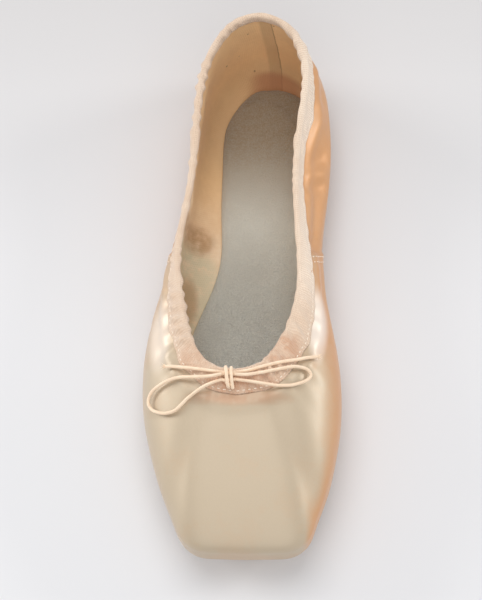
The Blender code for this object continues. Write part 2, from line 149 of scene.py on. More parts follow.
# The bow's routes, in millimetres, as in the solids
ROUTES = {
    "loop_left": (
        (-7.4, -52.2, 52.3), (-12.6, -52.7, 51.1), (-19.2, -52.3, 49.2), (-23.9, -51.6, 47.2),
        (-27.9, -51.6, 45.2), (-31.6, -52.4, 42.9), (-34.9, -53.7, 40.4), (-37.0, -55.2, 38.5),
        (-38.1, -57.3, 36.9), (-38.0, -59.8, 36.5), (-36.1, -62.7, 37.9), (-32.2, -64.9, 40.5),
        (-29.0, -65.3, 42.2), (-26.2, -64.6, 43.6), (-23.6, -62.5, 44.9), (-20.8, -60.1, 46.2),
        (-15.3, -56.8, 48.9), (-10.9, -55.0, 50.0), (-7.4, -53.9, 50.3),
    ),
    "end_right": (
        (-1.8, -50.7, 50.3), (2.9, -50.0, 50.4), (7.3, -48.6, 50.2), (12.2, -46.9, 49.6), (17.4, -45.3, 48.6),
        (23.1, -43.7, 47.0), (27.4, -42.0, 44.9), (31.2, -40.8, 42.8),
    ),
    "loop_right": (
        (-1.8, -52.2, 52.1), (2.9, -52.2, 51.7), (9.0, -50.8, 50.6), (13.8, -49.3, 49.5), (18.3, -47.9, 48.4),
        (21.9, -46.9, 47.3), (24.9, -46.6, 45.8), (27.6, -47.2, 44.5), (28.9, -48.9, 43.7),
        (28.2, -50.9, 44.1), (25.4, -53.0, 45.2), (21.6, -54.6, 46.3), (18.3, -55.2, 47.1),
        (15.2, -55.4, 47.8), (10.9, -55.3, 49.2), (4.7, -54.6, 50.2), (0.1, -54.0, 50.3), (-1.8, -53.7, 50.3),
    ),
    "end_left": (
        (-7.4, -50.6, 50.3), (-10.6, -50.2, 50.4), (-15.5, -49.3, 49.9), (-21.4, -48.1, 48.8),
        (-27.9, -46.4, 45.9), (-30.6, -45.9, 44.6),
    ),
}

# The knot's cord, in millimetres: up behind the strands, over them, down in front, and round once more
KNOT_WRAP = (
    (-5.2, -55.2, 49.9), (-5.6, -52.0, 49.1), (-5.8, -49.6, 49.9), (-5.7, -48.9, 51.6), (-5.5, -50.2, 53.2),
    (-5.2, -52.4, 53.9), (-4.9, -55.0, 53.2), (-4.6, -56.9, 51.6), (-4.2, -57.1, 50.0), (-3.8, -55.2, 49.3),
    (-3.6, -52.0, 49.1), (-3.5, -49.6, 50.0), (-3.4, -49.2, 51.6), (-3.4, -50.6, 53.0), (-3.3, -52.8, 53.4),
    (-3.1, -55.0, 52.6), (-2.9, -56.4, 51.4), (-2.7, -57.6, 50.4),
)

# Creases of the quarter and the vamp, in millimetres: side, place along the shoe, distance from the
# collar's edge, half length and half width, turn in degrees from along the shoe, and height, troughs below 0
CREASES = (
    ("right", 60.0, 17.0, 12.0, 4.5, 55.0, -1.3), ("right", 46.0, 15.0, 9.0, 3.6, 68.0, -1.2),
    ("right", 53.0, 17.0, 8.0, 3.0, 60.0, 0.8), ("right", 76.0, 14.0, 12.0, 4.5, 38.0, 0.7),
    ("right", 27.0, 12.0, 14.0, 3.6, 12.0, -1.2), ("right", 17.0, 11.0, 8.0, 4.0, 62.0, -1.9),
    ("right", -14.0, 18.0, 22.0, 4.5, -8.0, -0.7), ("right", -2.0, 22.0, 20.0, 4.0, -12.0, 0.5),
    ("right", 92.0, 20.0, 11.0, 4.0, 58.0, -0.9), ("right", 34.0, 24.0, 14.0, 4.0, 30.0, 0.8),
    ("right", 70.0, 26.0, 16.0, 4.5, -20.0, -0.6), ("right", 100.0, 12.0, 7.0, 3.0, 75.0, 0.6),
    ("left", 58.0, 19.0, 13.0, 4.5, -55.0, -1.0), ("left", 40.0, 16.0, 10.0, 3.8, -70.0, -0.9),
    ("left", 49.0, 18.0, 8.0, 3.0, -60.0, 0.6), ("left", 24.0, 19.0, 14.0, 4.0, -15.0, -0.8),
    ("left", 80.0, 20.0, 11.0, 4.0, -50.0, -0.8), ("left", -16.0, 16.0, 20.0, 4.0, 6.0, -0.6),
    ("left", -8.0, 22.0, 18.0, 4.0, 10.0, 0.5), ("left", 68.0, 28.0, 16.0, 4.5, 20.0, -0.6),
    ("right", -38.0, 15.0, 10.0, 3.2, 35.0, -0.5), ("left", -38.0, 15.0, 11.0, 3.2, -35.0, -0.6),
    ("left", -30.0, 20.0, 12.0, 3.0, -30.0, 0.35),
)

# Width of the tape's outer leg as a share of its full width, by place along the shoe in millimetres
TAPE_SHARES = {
    "right": ((-60, 0.96), (-49, 0.96), (-45, 1.00), (-36, 1.02), (-22, 0.94), (-5, 0.78),
              (12, 0.62), (40, 0.50), (62, 0.56), (76, 0.88), (100, 0.95), (112, 0.75), (119, 0.55)),
    "left": ((-60, 0.96), (-49, 0.96), (-44, 0.88), (-20, 0.74), (5, 0.58),
             (40, 0.50), (80, 0.50), (105, 0.50), (119, 0.55)),
}


def srgb(red, green, blue):
    """A picked screen colour as the linear colour that a shader uses."""
    shares = [value / 255 for value in (red, green, blue)]
    return tuple(s / 12.92 if s <= 0.04045 else ((s + 0.055) / 1.055) ** 2.4 for s in shares)


def read_at(at, run, rows):
    """The rows of numbers at these distances along their run."""
    return np.stack([np.interp(at, run, rows[:, k]) for k in range(rows.shape[1])], axis=-1)


def table_height(rows, column, y):
    """A column of a small table along the shoe, read with easing between its rows."""
    places = np.array([row[0] for row in rows]) * HALF_LENGTH
    values = np.array([row[column] for row in rows])
    index = np.clip(np.searchsorted(places, y) - 1, 0, len(places) - 2)
    share = np.clip((y - places[index]) / (places[index + 1] - places[index]), 0.0, 1.0)
    eased = share * share * (3 - 2 * share)
    return values[index] + (values[index + 1] - values[index]) * eased


def spine_x(y):
    return BALL * table_height(SOLE_AXIS, 1, y)


def floor_line(y):
    """Height of the outsole's underside."""
    return TOE_SPRING * table_height(SOLE_LINE, 1, y) + ARCH_RISE * table_height(SOLE_LINE, 2, y)


def closed_spline(places, rows, period, at):
    """A smooth closed curve through the rows, read at the given places along it."""
    count = len(places)
    steps = np.diff(np.append(places, places[0] + period))
    before = np.roll(steps, 1)
    slopes = (np.roll(rows, -1, axis=0) - rows) / steps[:, None]
    matrix = np.zeros((count, count))
    for i in range(count):
        matrix[i, i - 1] += before[i]
        matrix[i, i] += 2 * (before[i] + steps[i])
        matrix[i, (i + 1) % count] += steps[i]
    bends = np.linalg.solve(matrix, 6 * (slopes - np.roll(slopes, 1, axis=0)))
    index = np.searchsorted(places, at, side="right") - 1
    after = (index + 1) % count
    step = steps[index][:, None]
    late = (at - places[index])[:, None] / step
    early = 1 - late
    curved = (early**3 - early) * bends[index] + (late**3 - late) * bends[after]
    return early * rows[index] + late * rows[after] + curved * step**2 / 6


def key_rib(row, side):
    """The numbers of one key rib: girth and collar in plan, their heights, exponents, lift and sock share."""
    girth = Vector((row["half"] * row[side], row["along"] * HALF_LENGTH))
    collar_y = THROAT_Y + row["collar"] * (COLLAR_BACK_Y - THROAT_Y)
    collar = Vector((COLLAR * row["c_" + side], collar_y))
    throat_rise = max(-row["rise"], 0.0) * (THROAT_HEIGHT - WAIST_HEIGHT)
    heel_rise = max(row["rise"], 0.0) * (HEEL_HEIGHT - WAIST_HEIGHT)
    return [
        *girth, *collar, row["girth"] * GIRTH_HEIGHT, WAIST_HEIGHT + throat_rise + heel_rise,
        row["edge"], row["n_" + side], row["wall"], row["feather"], row["lift"] * TOE_LIFT, row["s_" + side],
    ]


def ribs(steps):
    """All the ribs, from the middle of the toe round by the right side and the heel."""
    table = [dict(zip(COLUMNS, row)) for row in SECTIONS]
    keys = [key_rib(row, "right") for row in table]
    keys += [key_rib(row, "left") for row in table[-2:0:-1]]
    keys = np.array(keys)
    chords = np.linalg.norm(np.roll(keys[:, :2], -1, axis=0) - keys[:, :2], axis=1)
    ends = np.cumsum(chords)
    places = ends - chords
    shares = np.arange(steps) / steps
    at = (places[:, None] + chords[:, None] * shares[None, :]).ravel()
    rows = closed_spline(places, keys, ends[-1], at)
    partners = -np.arange(len(rows)) % len(rows)
    spine_y = np.clip((rows[:, 1] + rows[partners, 1]) / 2, TOE_FAN_Y, HEEL_FAN_Y)
    return [Rib(row, (float(spine_x(y)), y)) for row, y in zip(rows, spine_y)]


class Rib:
    """One section of the shoe, from the collar's edge down to the edge of the sole opening."""

    def __init__(self, row, spine):
        self.girth = row[0:2]
        self.collar = row[2:4]
        self.girth_z, self.collar_z, self.edge, self.crown, self.wall, self.feather, self.lift = row[4:11]
        self.spine = np.array(spine)
        self.reach = float(np.linalg.norm(self.girth - self.spine))
        self.outward = (self.girth - self.spine) / self.reach
        self.sock = row[11] * self.reach
        self.sole = self.sock + SOLE_MARGIN
        self.opening = self.sole - SOLE_LAP
        self.path = self.section()
        steps = np.diff(self.path, axis=0)
        lengths = np.linalg.norm(steps, axis=1)
        headings = steps / lengths[:, None]
        cosines = np.clip((headings[1:] * headings[:-1]).sum(axis=1), -1.0, 1.0)
        turns = np.append(0.0, np.arccos(cosines))
        self.run = np.append(0.0, np.cumsum(lengths))
        self.measure = np.append(0.0, np.cumsum(lengths + TURN_WEIGHT * turns))
        self.girth_run = self.run[PATH_SAMPLES]

    def underside(self, reach):
        """Height of the shell's outer face under the foot, at these distances from the spine."""
        reach = np.asarray(reach, float)
        share = np.clip((reach - self.opening) / (self.reach - self.opening), 0.0, 1.0)
        y = self.spine[1] + self.outward[1] * reach
        flat = floor_line(y) + SOLE_THICKNESS + GAP + self.lift * share**2
        drop = (1 - share**self.feather) ** (1 / self.feather)
        return self.girth_z - (self.girth_z - flat) * drop

    def seat(self, reach):
        """Height of the shell's inner face under the foot."""
        step = WALL / 4
        slope = (self.underside(reach + step) - self.underside(reach - step)) / (2 * step)
        return self.underside(reach) + WALL * np.hypot(1.0, slope)

    def section(self):
        """The section as a fine line of points."""
        even = np.linspace(0, 1, PATH_SAMPLES + 1)
        turn = 0.5 * math.pi * even ** (self.crown / 2)
        share = np.sin(turn) ** (2 / self.crown)
        rise = (self.collar_z - self.girth_z) * (1 + (self.edge - 1) * share**CROWN_FALL)
        plan = self.collar + (self.girth - self.collar) * share[:, None]
        height = self.girth_z + rise * np.abs(np.cos(turn)) ** (2 / self.wall)
        above = np.column_stack([plan, height])
        turn = 0.5 * math.pi * even ** (self.feather / 2)
        share = np.sin(turn[::-1]) ** (2 / self.feather)
        reach = self.opening + (self.reach - self.opening) * share
        plan = self.spine + self.outward * reach[:, None]
        below = np.column_stack([plan, self.underside(reach)])
        return np.vstack([above, below[1:]])

    def at_run(self, distances):
        """Points of the section at these distances from the collar's edge, along the surface."""
        return read_at(distances, self.run, self.path)

    def divided(self, rings):
        """Distances from the collar's edge that divide the section into rings, closer where it turns."""
        at = np.linspace(0.0, self.measure[-1], rings)
        return np.interp(at, self.measure, self.run)


def swell(value, start, end):
    """Eases from 0 at start to 1 at end."""
    share = np.clip((value - start) / (end - start), 0.0, 1.0)
    return share * share * (3 - 2 * share)


def hump(value, centre, half):
    return np.exp(-(((value - centre) / half) ** 2))


def round_normals(points):
    """Outward unit normals of a grid that runs round the shoe (first index) and down from the collar."""
    down = np.gradient(points, axis=1)
    around = np.roll(points, -1, axis=0) - np.roll(points, 1, axis=0)
    normal = np.cross(down, around)
    return normal / np.maximum(np.linalg.norm(normal, axis=2), 1e-12)[:, :, None]


def wander(values, total, pitch, seed):
    """A slow, smooth, seeded wander between about -1 and 1 along a closed line of this total length."""
    radius = total / (2 * math.pi * pitch)
    turns = values / total * 2 * math.pi
    places = zip(radius * np.cos(turns), radius * np.sin(turns))
    return np.array([2 * noise.noise(Vector((a, b, seed * 7.31))) for a, b in places])


def waves(values, total, pitch):
    """Phase in turns along a closed line, with a whole number of waves in its total length."""
    return values * round(total / pitch) / total


def wrapped_mesh(name, rows, across_uv, around_uv):
    """A grid that goes once round. rows[i, j] is the place of column i and ring j."""
    around, across = rows.shape[0], rows.shape[1] - 1
    bm = bmesh.new()
    bmesh.ops.create_grid(bm, x_segments=around, y_segments=across, size=0.5)
    mesh = bpy.data.meshes.new(name)
    bm.to_mesh(mesh)
    bm.free()
    flat = np.empty(len(mesh.vertices) * 3)
    mesh.vertices.foreach_get("co", flat)
    flat = flat.reshape(-1, 3)
    column = np.rint((flat[:, 0] + 0.5) * around).astype(int)
    ring = np.rint((flat[:, 1] + 0.5) * across).astype(int)
    places = rows[column % around, ring]
    mesh.vertices.foreach_set("co", places.ravel())
    corner = np.empty(len(mesh.loops), dtype=int)
    mesh.loops.foreach_get("vertex_index", corner)
    layer = mesh.uv_layers.new(name="cloth")
    uv = np.column_stack([around_uv[column[corner]], across_uv[column[corner] % around, ring[corner]]])
    layer.data.foreach_set("uv", uv.ravel())
    bm = bmesh.new()
    bm.from_mesh(mesh)
    bmesh.ops.remove_doubles(bm, verts=bm.verts, dist=1e-7)
    bm.to_mesh(mesh)
    bm.free()
    return mesh


def add_piece(name, mesh, finish):
    """Links a finished piece to the scene, smooth, riding on the shoe's one body."""
    piece = bpy.data.objects.new(name, mesh)
    bpy.context.scene.collection.objects.link(piece)
    mesh.materials.append(finish)
    mesh.shade_smooth()
    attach(piece, "root")
    return piece


def solidify(piece, thickness, offset):
    wall = piece.modifiers.new("wall", "SOLIDIFY")
    wall.thickness = thickness
    wall.offset = offset
    wall.use_quality_normals = True
    wall.use_rim = True
    return wall


class Shell:
    """The shoe's outer surface, divided finely, with the measures that creases and patterns follow."""

    def __init__(self, steps, rings):
        self.ribs = ribs(steps)
        self.depth = np.array([rib.divided(rings) for rib in self.ribs])
        self.points = np.array([rib.at_run(d) for rib, d in zip(self.ribs, self.depth)])
        self.normals = round_normals(self.points)
        self.spine = np.array([rib.spine for rib in self.ribs])
        self.girth_run = np.array([rib.girth_run for rib in self.ribs])
        self.collar_at = self.lengthwise(np.array([rib.path[0] for rib in self.ribs]))
        self.tape = tape_reach(self.ribs)[:, None]
        self.girth_at = self.lengthwise(np.array([[*rib.girth, rib.girth_z] for rib in self.ribs]))

    @staticmethod
    def lengthwise(line):
        """Distance along a closed line from its first point, with the whole length at the end."""
        steps = np.linalg.norm(np.roll(line, -1, axis=0) - line, axis=1)
        return np.append(0.0, np.cumsum(steps))

    def signed(self, measure):
        """The measure from the middle of the toe, positive on the right and negative on the left."""
        run = measure[:-1]
        return np.where(run > measure[-1] / 2, run - measure[-1], run)


def tape_reach(all_ribs):
    """How far down the outside the tape reaches at each rib."""
    back = len(all_ribs) // 2
    shares = []
    for index, rib in enumerate(all_ribs):
        rows = TAPE_SHARES["right" if index <= back else "left"]
        shares.append(np.interp(rib.collar[1] / MM, [row[0] for row in rows], [row[1] for row in rows]))
    return np.array(shares) * TAPE_WIDTH


def seam_line(z):
    """Place along the shoe of the side seam's folded edge, which slants towards the heel on its way down."""
    return SEAM_TOP_Y + SEAM_SLANT * (SEAM_TOP_Z - z)


def crease_height(shell, side_soft=0.004):
    """Height of the listed creases over the smooth shell, which end above the turn to the sole."""
    height = np.zeros(shell.points.shape[:2])
    across = shell.points[:, :, 0] - shell.spine[:, None, 0]
    y = shell.points[:, :, 1]
    for side, along, deep, half_length, half_width, turn, rise in CREASES:
        angle = math.radians(turn)
        dy = y / MM - along
        dv = shell.depth / MM - deep
        lengthways = dy * math.cos(angle) + dv * math.sin(angle)
        crossways = dv * math.cos(angle) - dy * math.sin(angle)
        bump = np.exp(-((lengthways / half_length) ** 2) - (crossways / half_width) ** 2)
        own = swell(across if side == "right" else -across, 0.0, side_soft)
        height += rise * MM * bump * own
    above = shell.girth_run[:, None] - shell.depth
    return height * swell(above, -0.001, 0.007) * swell(shell.depth, 0.6 * shell.tape, shell.tape + 0.002)


def gathers(signed, total):
    """Relief along the tape's edge that the drawstring gathers, strongest on both sides of the throat."""
    phase = 2 * math.pi * (waves(signed, total, 0.0072) + 0.6 * wander(signed, total, 0.016, 3))
    wings = hump(np.abs(signed), 0.036, 0.020)
    return np.cos(phase) * (0.25 + 0.75 * wings) * (0.70 + 0.35 * wander(signed, total, 0.011, 5))


def satin_height(shell, settings):
    """All the satin's relief over the smooth shell: creases, gathers at the tape, seams and toe pleats."""
    height = crease_height(shell)
    collar = shell.signed(shell.collar_at)
    total = shell.collar_at[-1]
    below_tape = shell.depth - shell.tape
    # Gathers that the drawstring pulls into the satin under the tape's edge, strongest round the throat
    fade = np.exp(-np.clip(below_tape, 0, None) / 0.0075) * swell(below_tape, -0.004, 0.0005)
    height += settings.gather_height * gathers(collar, total)[:, None] * fade
    # The satin's soft swell just under the tape, where the seam pulls it in
    height += 0.00075 * hump(below_tape, 0.0042, 0.0028)
    height -= 0.00012 * hump(below_tape, -0.0002, 0.0016)
    # Side seams, where the vamp laps over the quarter
    behind = shell.points[:, :, 1] - seam_line(shell.points[:, :, 2])
    lap = swell(behind, 0.0006, -0.0004) * (1 - swell(behind, -0.006, -0.024))
    groove = hump(behind, 0.0013, 0.0010) + 0.6 * hump(behind, -0.0050, 0.0009)
    height += settings.seam_height * lap - 0.00030 * groove
    # The seam down the back of the heel
    back = len(shell.ribs) // 2
    girth = shell.girth_at[:-1] - shell.girth_at[back]
    height -= 0.00045 * hump(girth, 0.0, 0.0007)[:, None] * swell(below_tape, -0.001, 0.0)
    height += 0.00018 * (hump(girth, -0.0022, 0.0012) + hump(girth, 0.0022, 0.0012))[:, None]
    # Pleats drawn in under the toe, from the platform to the sole
    around = shell.signed(shell.girth_at)
    under = shell.depth - shell.girth_run[:, None]
    phase = around / settings.pleat_pitch + 0.22 * wander(around, shell.girth_at[-1], 0.013, 9)
    saw = phase - np.floor(phase)
    fold = swell(saw, 0.0, 0.72) * (1 - swell(saw, 0.80, 1.0))
    reach = swell(under, 0.010, 0.017) * (1 - swell(np.abs(around), 0.062, 0.082))[:, None]
    height -= settings.pleat_depth * (1 - fold)[:, None] * reach
    return height


# Shader helpers


class Nodes:
    """Short names for the shader nodes that the materials and their groups share."""

    def __init__(self, tree):
        self.tree = tree

    def fill(self, node, inputs):
        """Fills a node's inputs with values or with other nodes' outputs."""
        for key, value in inputs.items():
            if isinstance(value, bpy.types.NodeSocket):
                self.tree.links.new(value, node.inputs[key])
            else:
                node.inputs[key].default_value = value

    def put(self, kind, inputs=None, **settings):
        node = self.tree.nodes.new(kind)
        for key, value in settings.items():
            setattr(node, key, value)
        self.fill(node, inputs or {})
        return node

    def maths(self, operation, *values, clamp=False):
        node = self.put("ShaderNodeMath", dict(enumerate(values)), operation=operation, use_clamp=clamp)
        return node.outputs[0]

    def times(self, first, *others):
        for other in others:
            first = self.maths("MULTIPLY", first, other)
        return first

    def plus(self, first, second, clamp=False):
        return self.maths("ADD", first, second, clamp=clamp)

    def minus(self, first, second, clamp=False):
        return self.maths("SUBTRACT", first, second, clamp=clamp)

    def ramp(self, value, low, high, to_low=0.0, to_high=1.0):
        """Eased step of a value between low and high."""
        inputs = {"Value": value, "From Min": low, "From Max": high, "To Min": to_low, "To Max": to_high}
        return self.put("ShaderNodeMapRange", inputs, interpolation_type="SMOOTHSTEP").outputs["Result"]

    def mixed(self, share, first, second):
        """One colour over another, by a share."""
        pair = [c if isinstance(c, bpy.types.NodeSocket) else (*c, 1.0) for c in (first, second)]
        inputs = {0: share, 6: pair[0], 7: pair[1]}
        return self.put("ShaderNodeMix", inputs, data_type="RGBA").outputs[2]

    def cloudy(self, coordinates, scale, detail=3.0, rough=0.55, distortion=0.0):
        inputs = {"Vector": coordinates, "Scale": scale, "Detail": detail, "Roughness": rough,
                  "Distortion": distortion}
        return self.put("ShaderNodeTexNoise", inputs).outputs["Fac"]

    def cells(self, coordinates, scale=5.0, feature="F1"):
        inputs = {"Vector": coordinates, "Scale": scale}
        return self.put("ShaderNodeTexVoronoi", inputs, feature=feature).outputs["Distance"]

    def split(self, coordinates):
        node = self.put("ShaderNodeSeparateXYZ", {"Vector": coordinates})
        return node.outputs["X"], node.outputs["Y"], node.outputs["Z"]

    def stretched(self, coordinates, scale):
        return self.put("ShaderNodeMapping", {"Vector": coordinates, "Scale": scale}).outputs["Vector"]

    def spot(self, axes, centre, size, softness=0.55):
        """A soft oval mask round a place of the shoe, 1 inside and 0 outside."""
        total = None
        for axis, middle, half in zip(axes, centre, size):
            away = self.maths("DIVIDE", self.minus(axis, middle), half)
            squared = self.times(away, away)
            total = squared if total is None else self.plus(total, squared)
        return self.ramp(total, 1.0 + softness, max(1.0 - softness, 0.0))

    def group(self, tree, inputs):
        return self.put("ShaderNodeGroup", inputs, node_tree=tree).outputs[0]


class Paint(Nodes):
    """A new material, coloured in layers one over another, on its piece's own places."""

    def __init__(self, name, constants):
        self.material = bpy.data.materials.new(name)
        self.material.use_nodes = True
        super().__init__(self.material.node_tree)
        self.shader = self.tree.nodes["Principled BSDF"]
        self.fill(self.shader, constants)
        self.place = self.put("ShaderNodeTexCoord").outputs["Object"]
        self.colour = None

    def start(self, share, first, second):
        self.colour = self.mixed(share, first, second)

    def tint(self, colour, *shares):
        """Lays a colour over what is there, by the product of the shares."""
        self.colour = self.mixed(self.times(*shares), self.colour, colour)

    def mottle(self, broad, fine):
        return self.group(mottle_group(), {"Place": self.place, "Broad": broad, "Fine": fine})

    def cloth(self):
        return self.put("ShaderNodeUVMap", uv_map="cloth").outputs["UV"]

    def weave(self, around, down, unevenness):
        inputs = {"Map": self.cloth(), "Around": around, "Down": down, "Unevenness": unevenness}
        return self.group(weave_group(), inputs)

    def finished(self, *layers, rough=None):
        """Connects colour, roughness and bump layers of (height, strength, distance) to the shader."""
        inputs = {"Base Color": self.colour}
        if rough is not None:
            inputs["Roughness"] = rough
        for height, strength, distance in layers:
            bump = {"Height": height, "Strength": strength, "Distance": distance}
            if "Normal" in inputs:
                bump["Normal"] = inputs["Normal"]
            inputs["Normal"] = self.put("ShaderNodeBump", bump).outputs["Normal"]
        self.fill(self.shader, inputs)
        return self.material


def shared_group(name, inputs, output, build):
    """A shader group with these inputs and one output, made once."""
    if name in bpy.data.node_groups:
        return bpy.data.node_groups[name]
    tree = bpy.data.node_groups.new(name, "ShaderNodeTree")
    for label, kind, value in inputs:
        socket = tree.interface.new_socket(label, in_out="INPUT", socket_type="NodeSocket" + kind)
        if kind == "Float":
            socket.default_value = value
    tree.interface.new_socket(output, in_out="OUTPUT", socket_type="NodeSocketFloat")
    nodes = Nodes(tree)
    result = build(nodes, nodes.put("NodeGroupInput").outputs)
    nodes.put("NodeGroupOutput", {output: result})
    return tree


def weave_group():
    """Shader group: height of a plain weave of warp and weft on a piece's own cloth map."""
    def build(nodes, given):
        u, v, _ = nodes.split(given["Map"])
        slub = nodes.cloudy(nodes.stretched(given["Map"], (260.0, 1400.0, 1.0)), 1.0, 2.0)
        sway = nodes.times(nodes.minus(slub, 0.5), given["Unevenness"])
        warp = nodes.maths("SINE", nodes.plus(nodes.times(u, given["Around"]), sway))
        weft = nodes.maths("SINE", nodes.plus(nodes.times(v, given["Down"]), sway))
        height = nodes.plus(nodes.times(warp, weft, 0.45), nodes.times(warp, 0.45))
        return nodes.plus(height, nodes.times(slub, 0.6))

    inputs = (("Around", "Float", 1000.0), ("Down", "Float", 1000.0), ("Unevenness", "Float", 0.3),
              ("Map", "Vector", None))
    return shared_group("cloth weave", inputs, "Height", build)


def mottle_group():
    """Shader group: soft uneven toning of a cloth or leather, as a value round 0.5."""
    def build(nodes, given):
        broad = nodes.cloudy(given["Place"], given["Broad"])
        fine = nodes.cloudy(given["Place"], given["Fine"], 2.0)
        return nodes.plus(nodes.times(broad, 0.7), nodes.times(fine, 0.3))

    inputs = (("Place", "Vector", None), ("Broad", "Float", 40.0), ("Fine", "Float", 400.0))
    return shared_group("mottle", inputs, "Tone", build)


def satin_material(colours):
    """Peach satin: paler on the vamp; painted shade makes it warmer on the quarters, low down, on the right
    flank and under the bow; painted sheen on the wings.
    """
    paint = Paint("peach satin", {
        "Metallic": 0.25, "Specular IOR Level": 0.4, "Coat Weight": 0.40, "Coat Roughness": 0.30,
        "Sheen Weight": 0.08, "Sheen Roughness": 0.35, "Sheen Tint": (1.0, 0.93, 0.86, 1.0),
    })
    x, y, z = paint.split(paint.place)
    # Painted shade: the satin turns warmer and darker behind the side seam, towards the heel, low down and
    # where it faces right
    slant = paint.plus(y, paint.times(z, SEAM_SLANT))
    seam = SEAM_TOP_Y + SEAM_SLANT * SEAM_TOP_Z
    behind = paint.ramp(slant, seam - 0.0010, seam)
    quarter = paint.plus(paint.times(behind, 0.50), paint.ramp(y, -0.070, 0.030, 0.0, 0.40))
    side = paint.split(paint.put("ShaderNodeNewGeometry").outputs["Normal"])[0]
    painted_shade = paint.plus(quarter, paint.times(paint.ramp(z, 0.034, 0.012), 0.30), clamp=True)
    painted_shade = paint.plus(painted_shade, paint.times(paint.ramp(side, 0.56, 0.94), 0.85), clamp=True)
    uneven = paint.ramp(paint.mottle(55.0, 420.0), 0.3, 0.7, -0.10, 0.10)
    paint.start(paint.plus(painted_shade, uneven, clamp=True), colours.satin, colours.painted_satin_shade)
    threads = paint.cloudy(paint.stretched(paint.place, (5200.0, 420.0, 5200.0)), 1.0, 1.0)
    paint.tint(colours.satin_thread, paint.ramp(threads, 0.25, 0.75, 0.0, 0.10))
    # Painted shade under the bow, just below the tape's edge
    tuck = paint.spot((x, y), (-0.0010, -0.0598), (0.0185, 0.0034), 1.0)
    broken = paint.ramp(paint.cloudy(paint.place, 160.0, 2.0), 0.34, 0.60, 0.55, 1.0)
    paint.tint(colours.painted_bow_shade, tuck, broken, 0.66)
    # Painted highlights: pale sheen on the satin of both wings, outside the tape
    left_wing_sheen = paint.times(paint.spot((x, y), (-0.0345, -0.0285), (0.0044, 0.0150), 1.0), 0.6)
    right_wing_sheen = paint.spot((x, y), (0.0312, -0.0240), (0.0038, 0.0150), 1.0)
    paint.tint(colours.painted_satin_sheen, paint.maths("MAXIMUM", right_wing_sheen, left_wing_sheen), 0.92)
    ripple = paint.cloudy(paint.stretched(paint.place, (60.0, 34.0, 60.0)), 1.0, 2.0, 0.4)
    return paint.finished((ripple, 0.35, 0.0012), (threads, 0.20, 0.00012),
                          rough=paint.ramp(threads, 0.2, 0.8, 0.42, 0.54))


def tape_material(colours):
    """Cream cotton tape with fine cross ribs, with painted light along the right side and a reddish tint,
    partly painted shade, at the throat.
    """
    paint = Paint("cotton tape", {"Specular IOR Level": 0.3, "Sheen Weight": 0.35, "Sheen Roughness": 0.5})
    x, y, _ = paint.split(paint.place)
    weave = paint.weave(6400.0, 9600.0, 0.8)
    tone = paint.mottle(130.0, 900.0)
    # Reddish tint at the throat, partly painted shade in the hollows beside and under the bow
    right = paint.spot((x, y), (0.0165, -0.0385), (0.0085, 0.0070), 0.75)
    middle = paint.spot((x, y), (0.0015, -0.0580), (0.0230, 0.0085), 0.75)
    left = paint.times(paint.spot((x, y), (-0.0185, -0.0430), (0.0065, 0.0070), 0.75), 0.7)
    throat_blush_and_shade = paint.maths("MAXIMUM", paint.maths("MAXIMUM", right, middle), left)
    broken = paint.ramp(paint.cloudy(paint.place, 210.0, 2.0), 0.36, 0.62, 0.35, 1.0)
    paint.start(paint.ramp(tone, 0.32, 0.68, 0.0, 0.45), colours.tape, colours.tape_shade)
    # Painted light: paler tape along the right side, from the wing back
    paint.tint(colours.tape_painted_light, paint.ramp(x, 0.018, 0.028), paint.ramp(y, -0.030, 0.000), 0.8)
    paint.tint(colours.blush_and_shade, throat_blush_and_shade, broken, 0.74)
    paint.tint(colours.tape_shade, paint.ramp(weave, 1.0, -0.5, 0.0, 0.60))
    return paint.finished((weave, 0.9, 0.00018), (tone, 0.35, 0.0004),
                          rough=paint.ramp(tone, 0.3, 0.7, 0.72, 0.88))


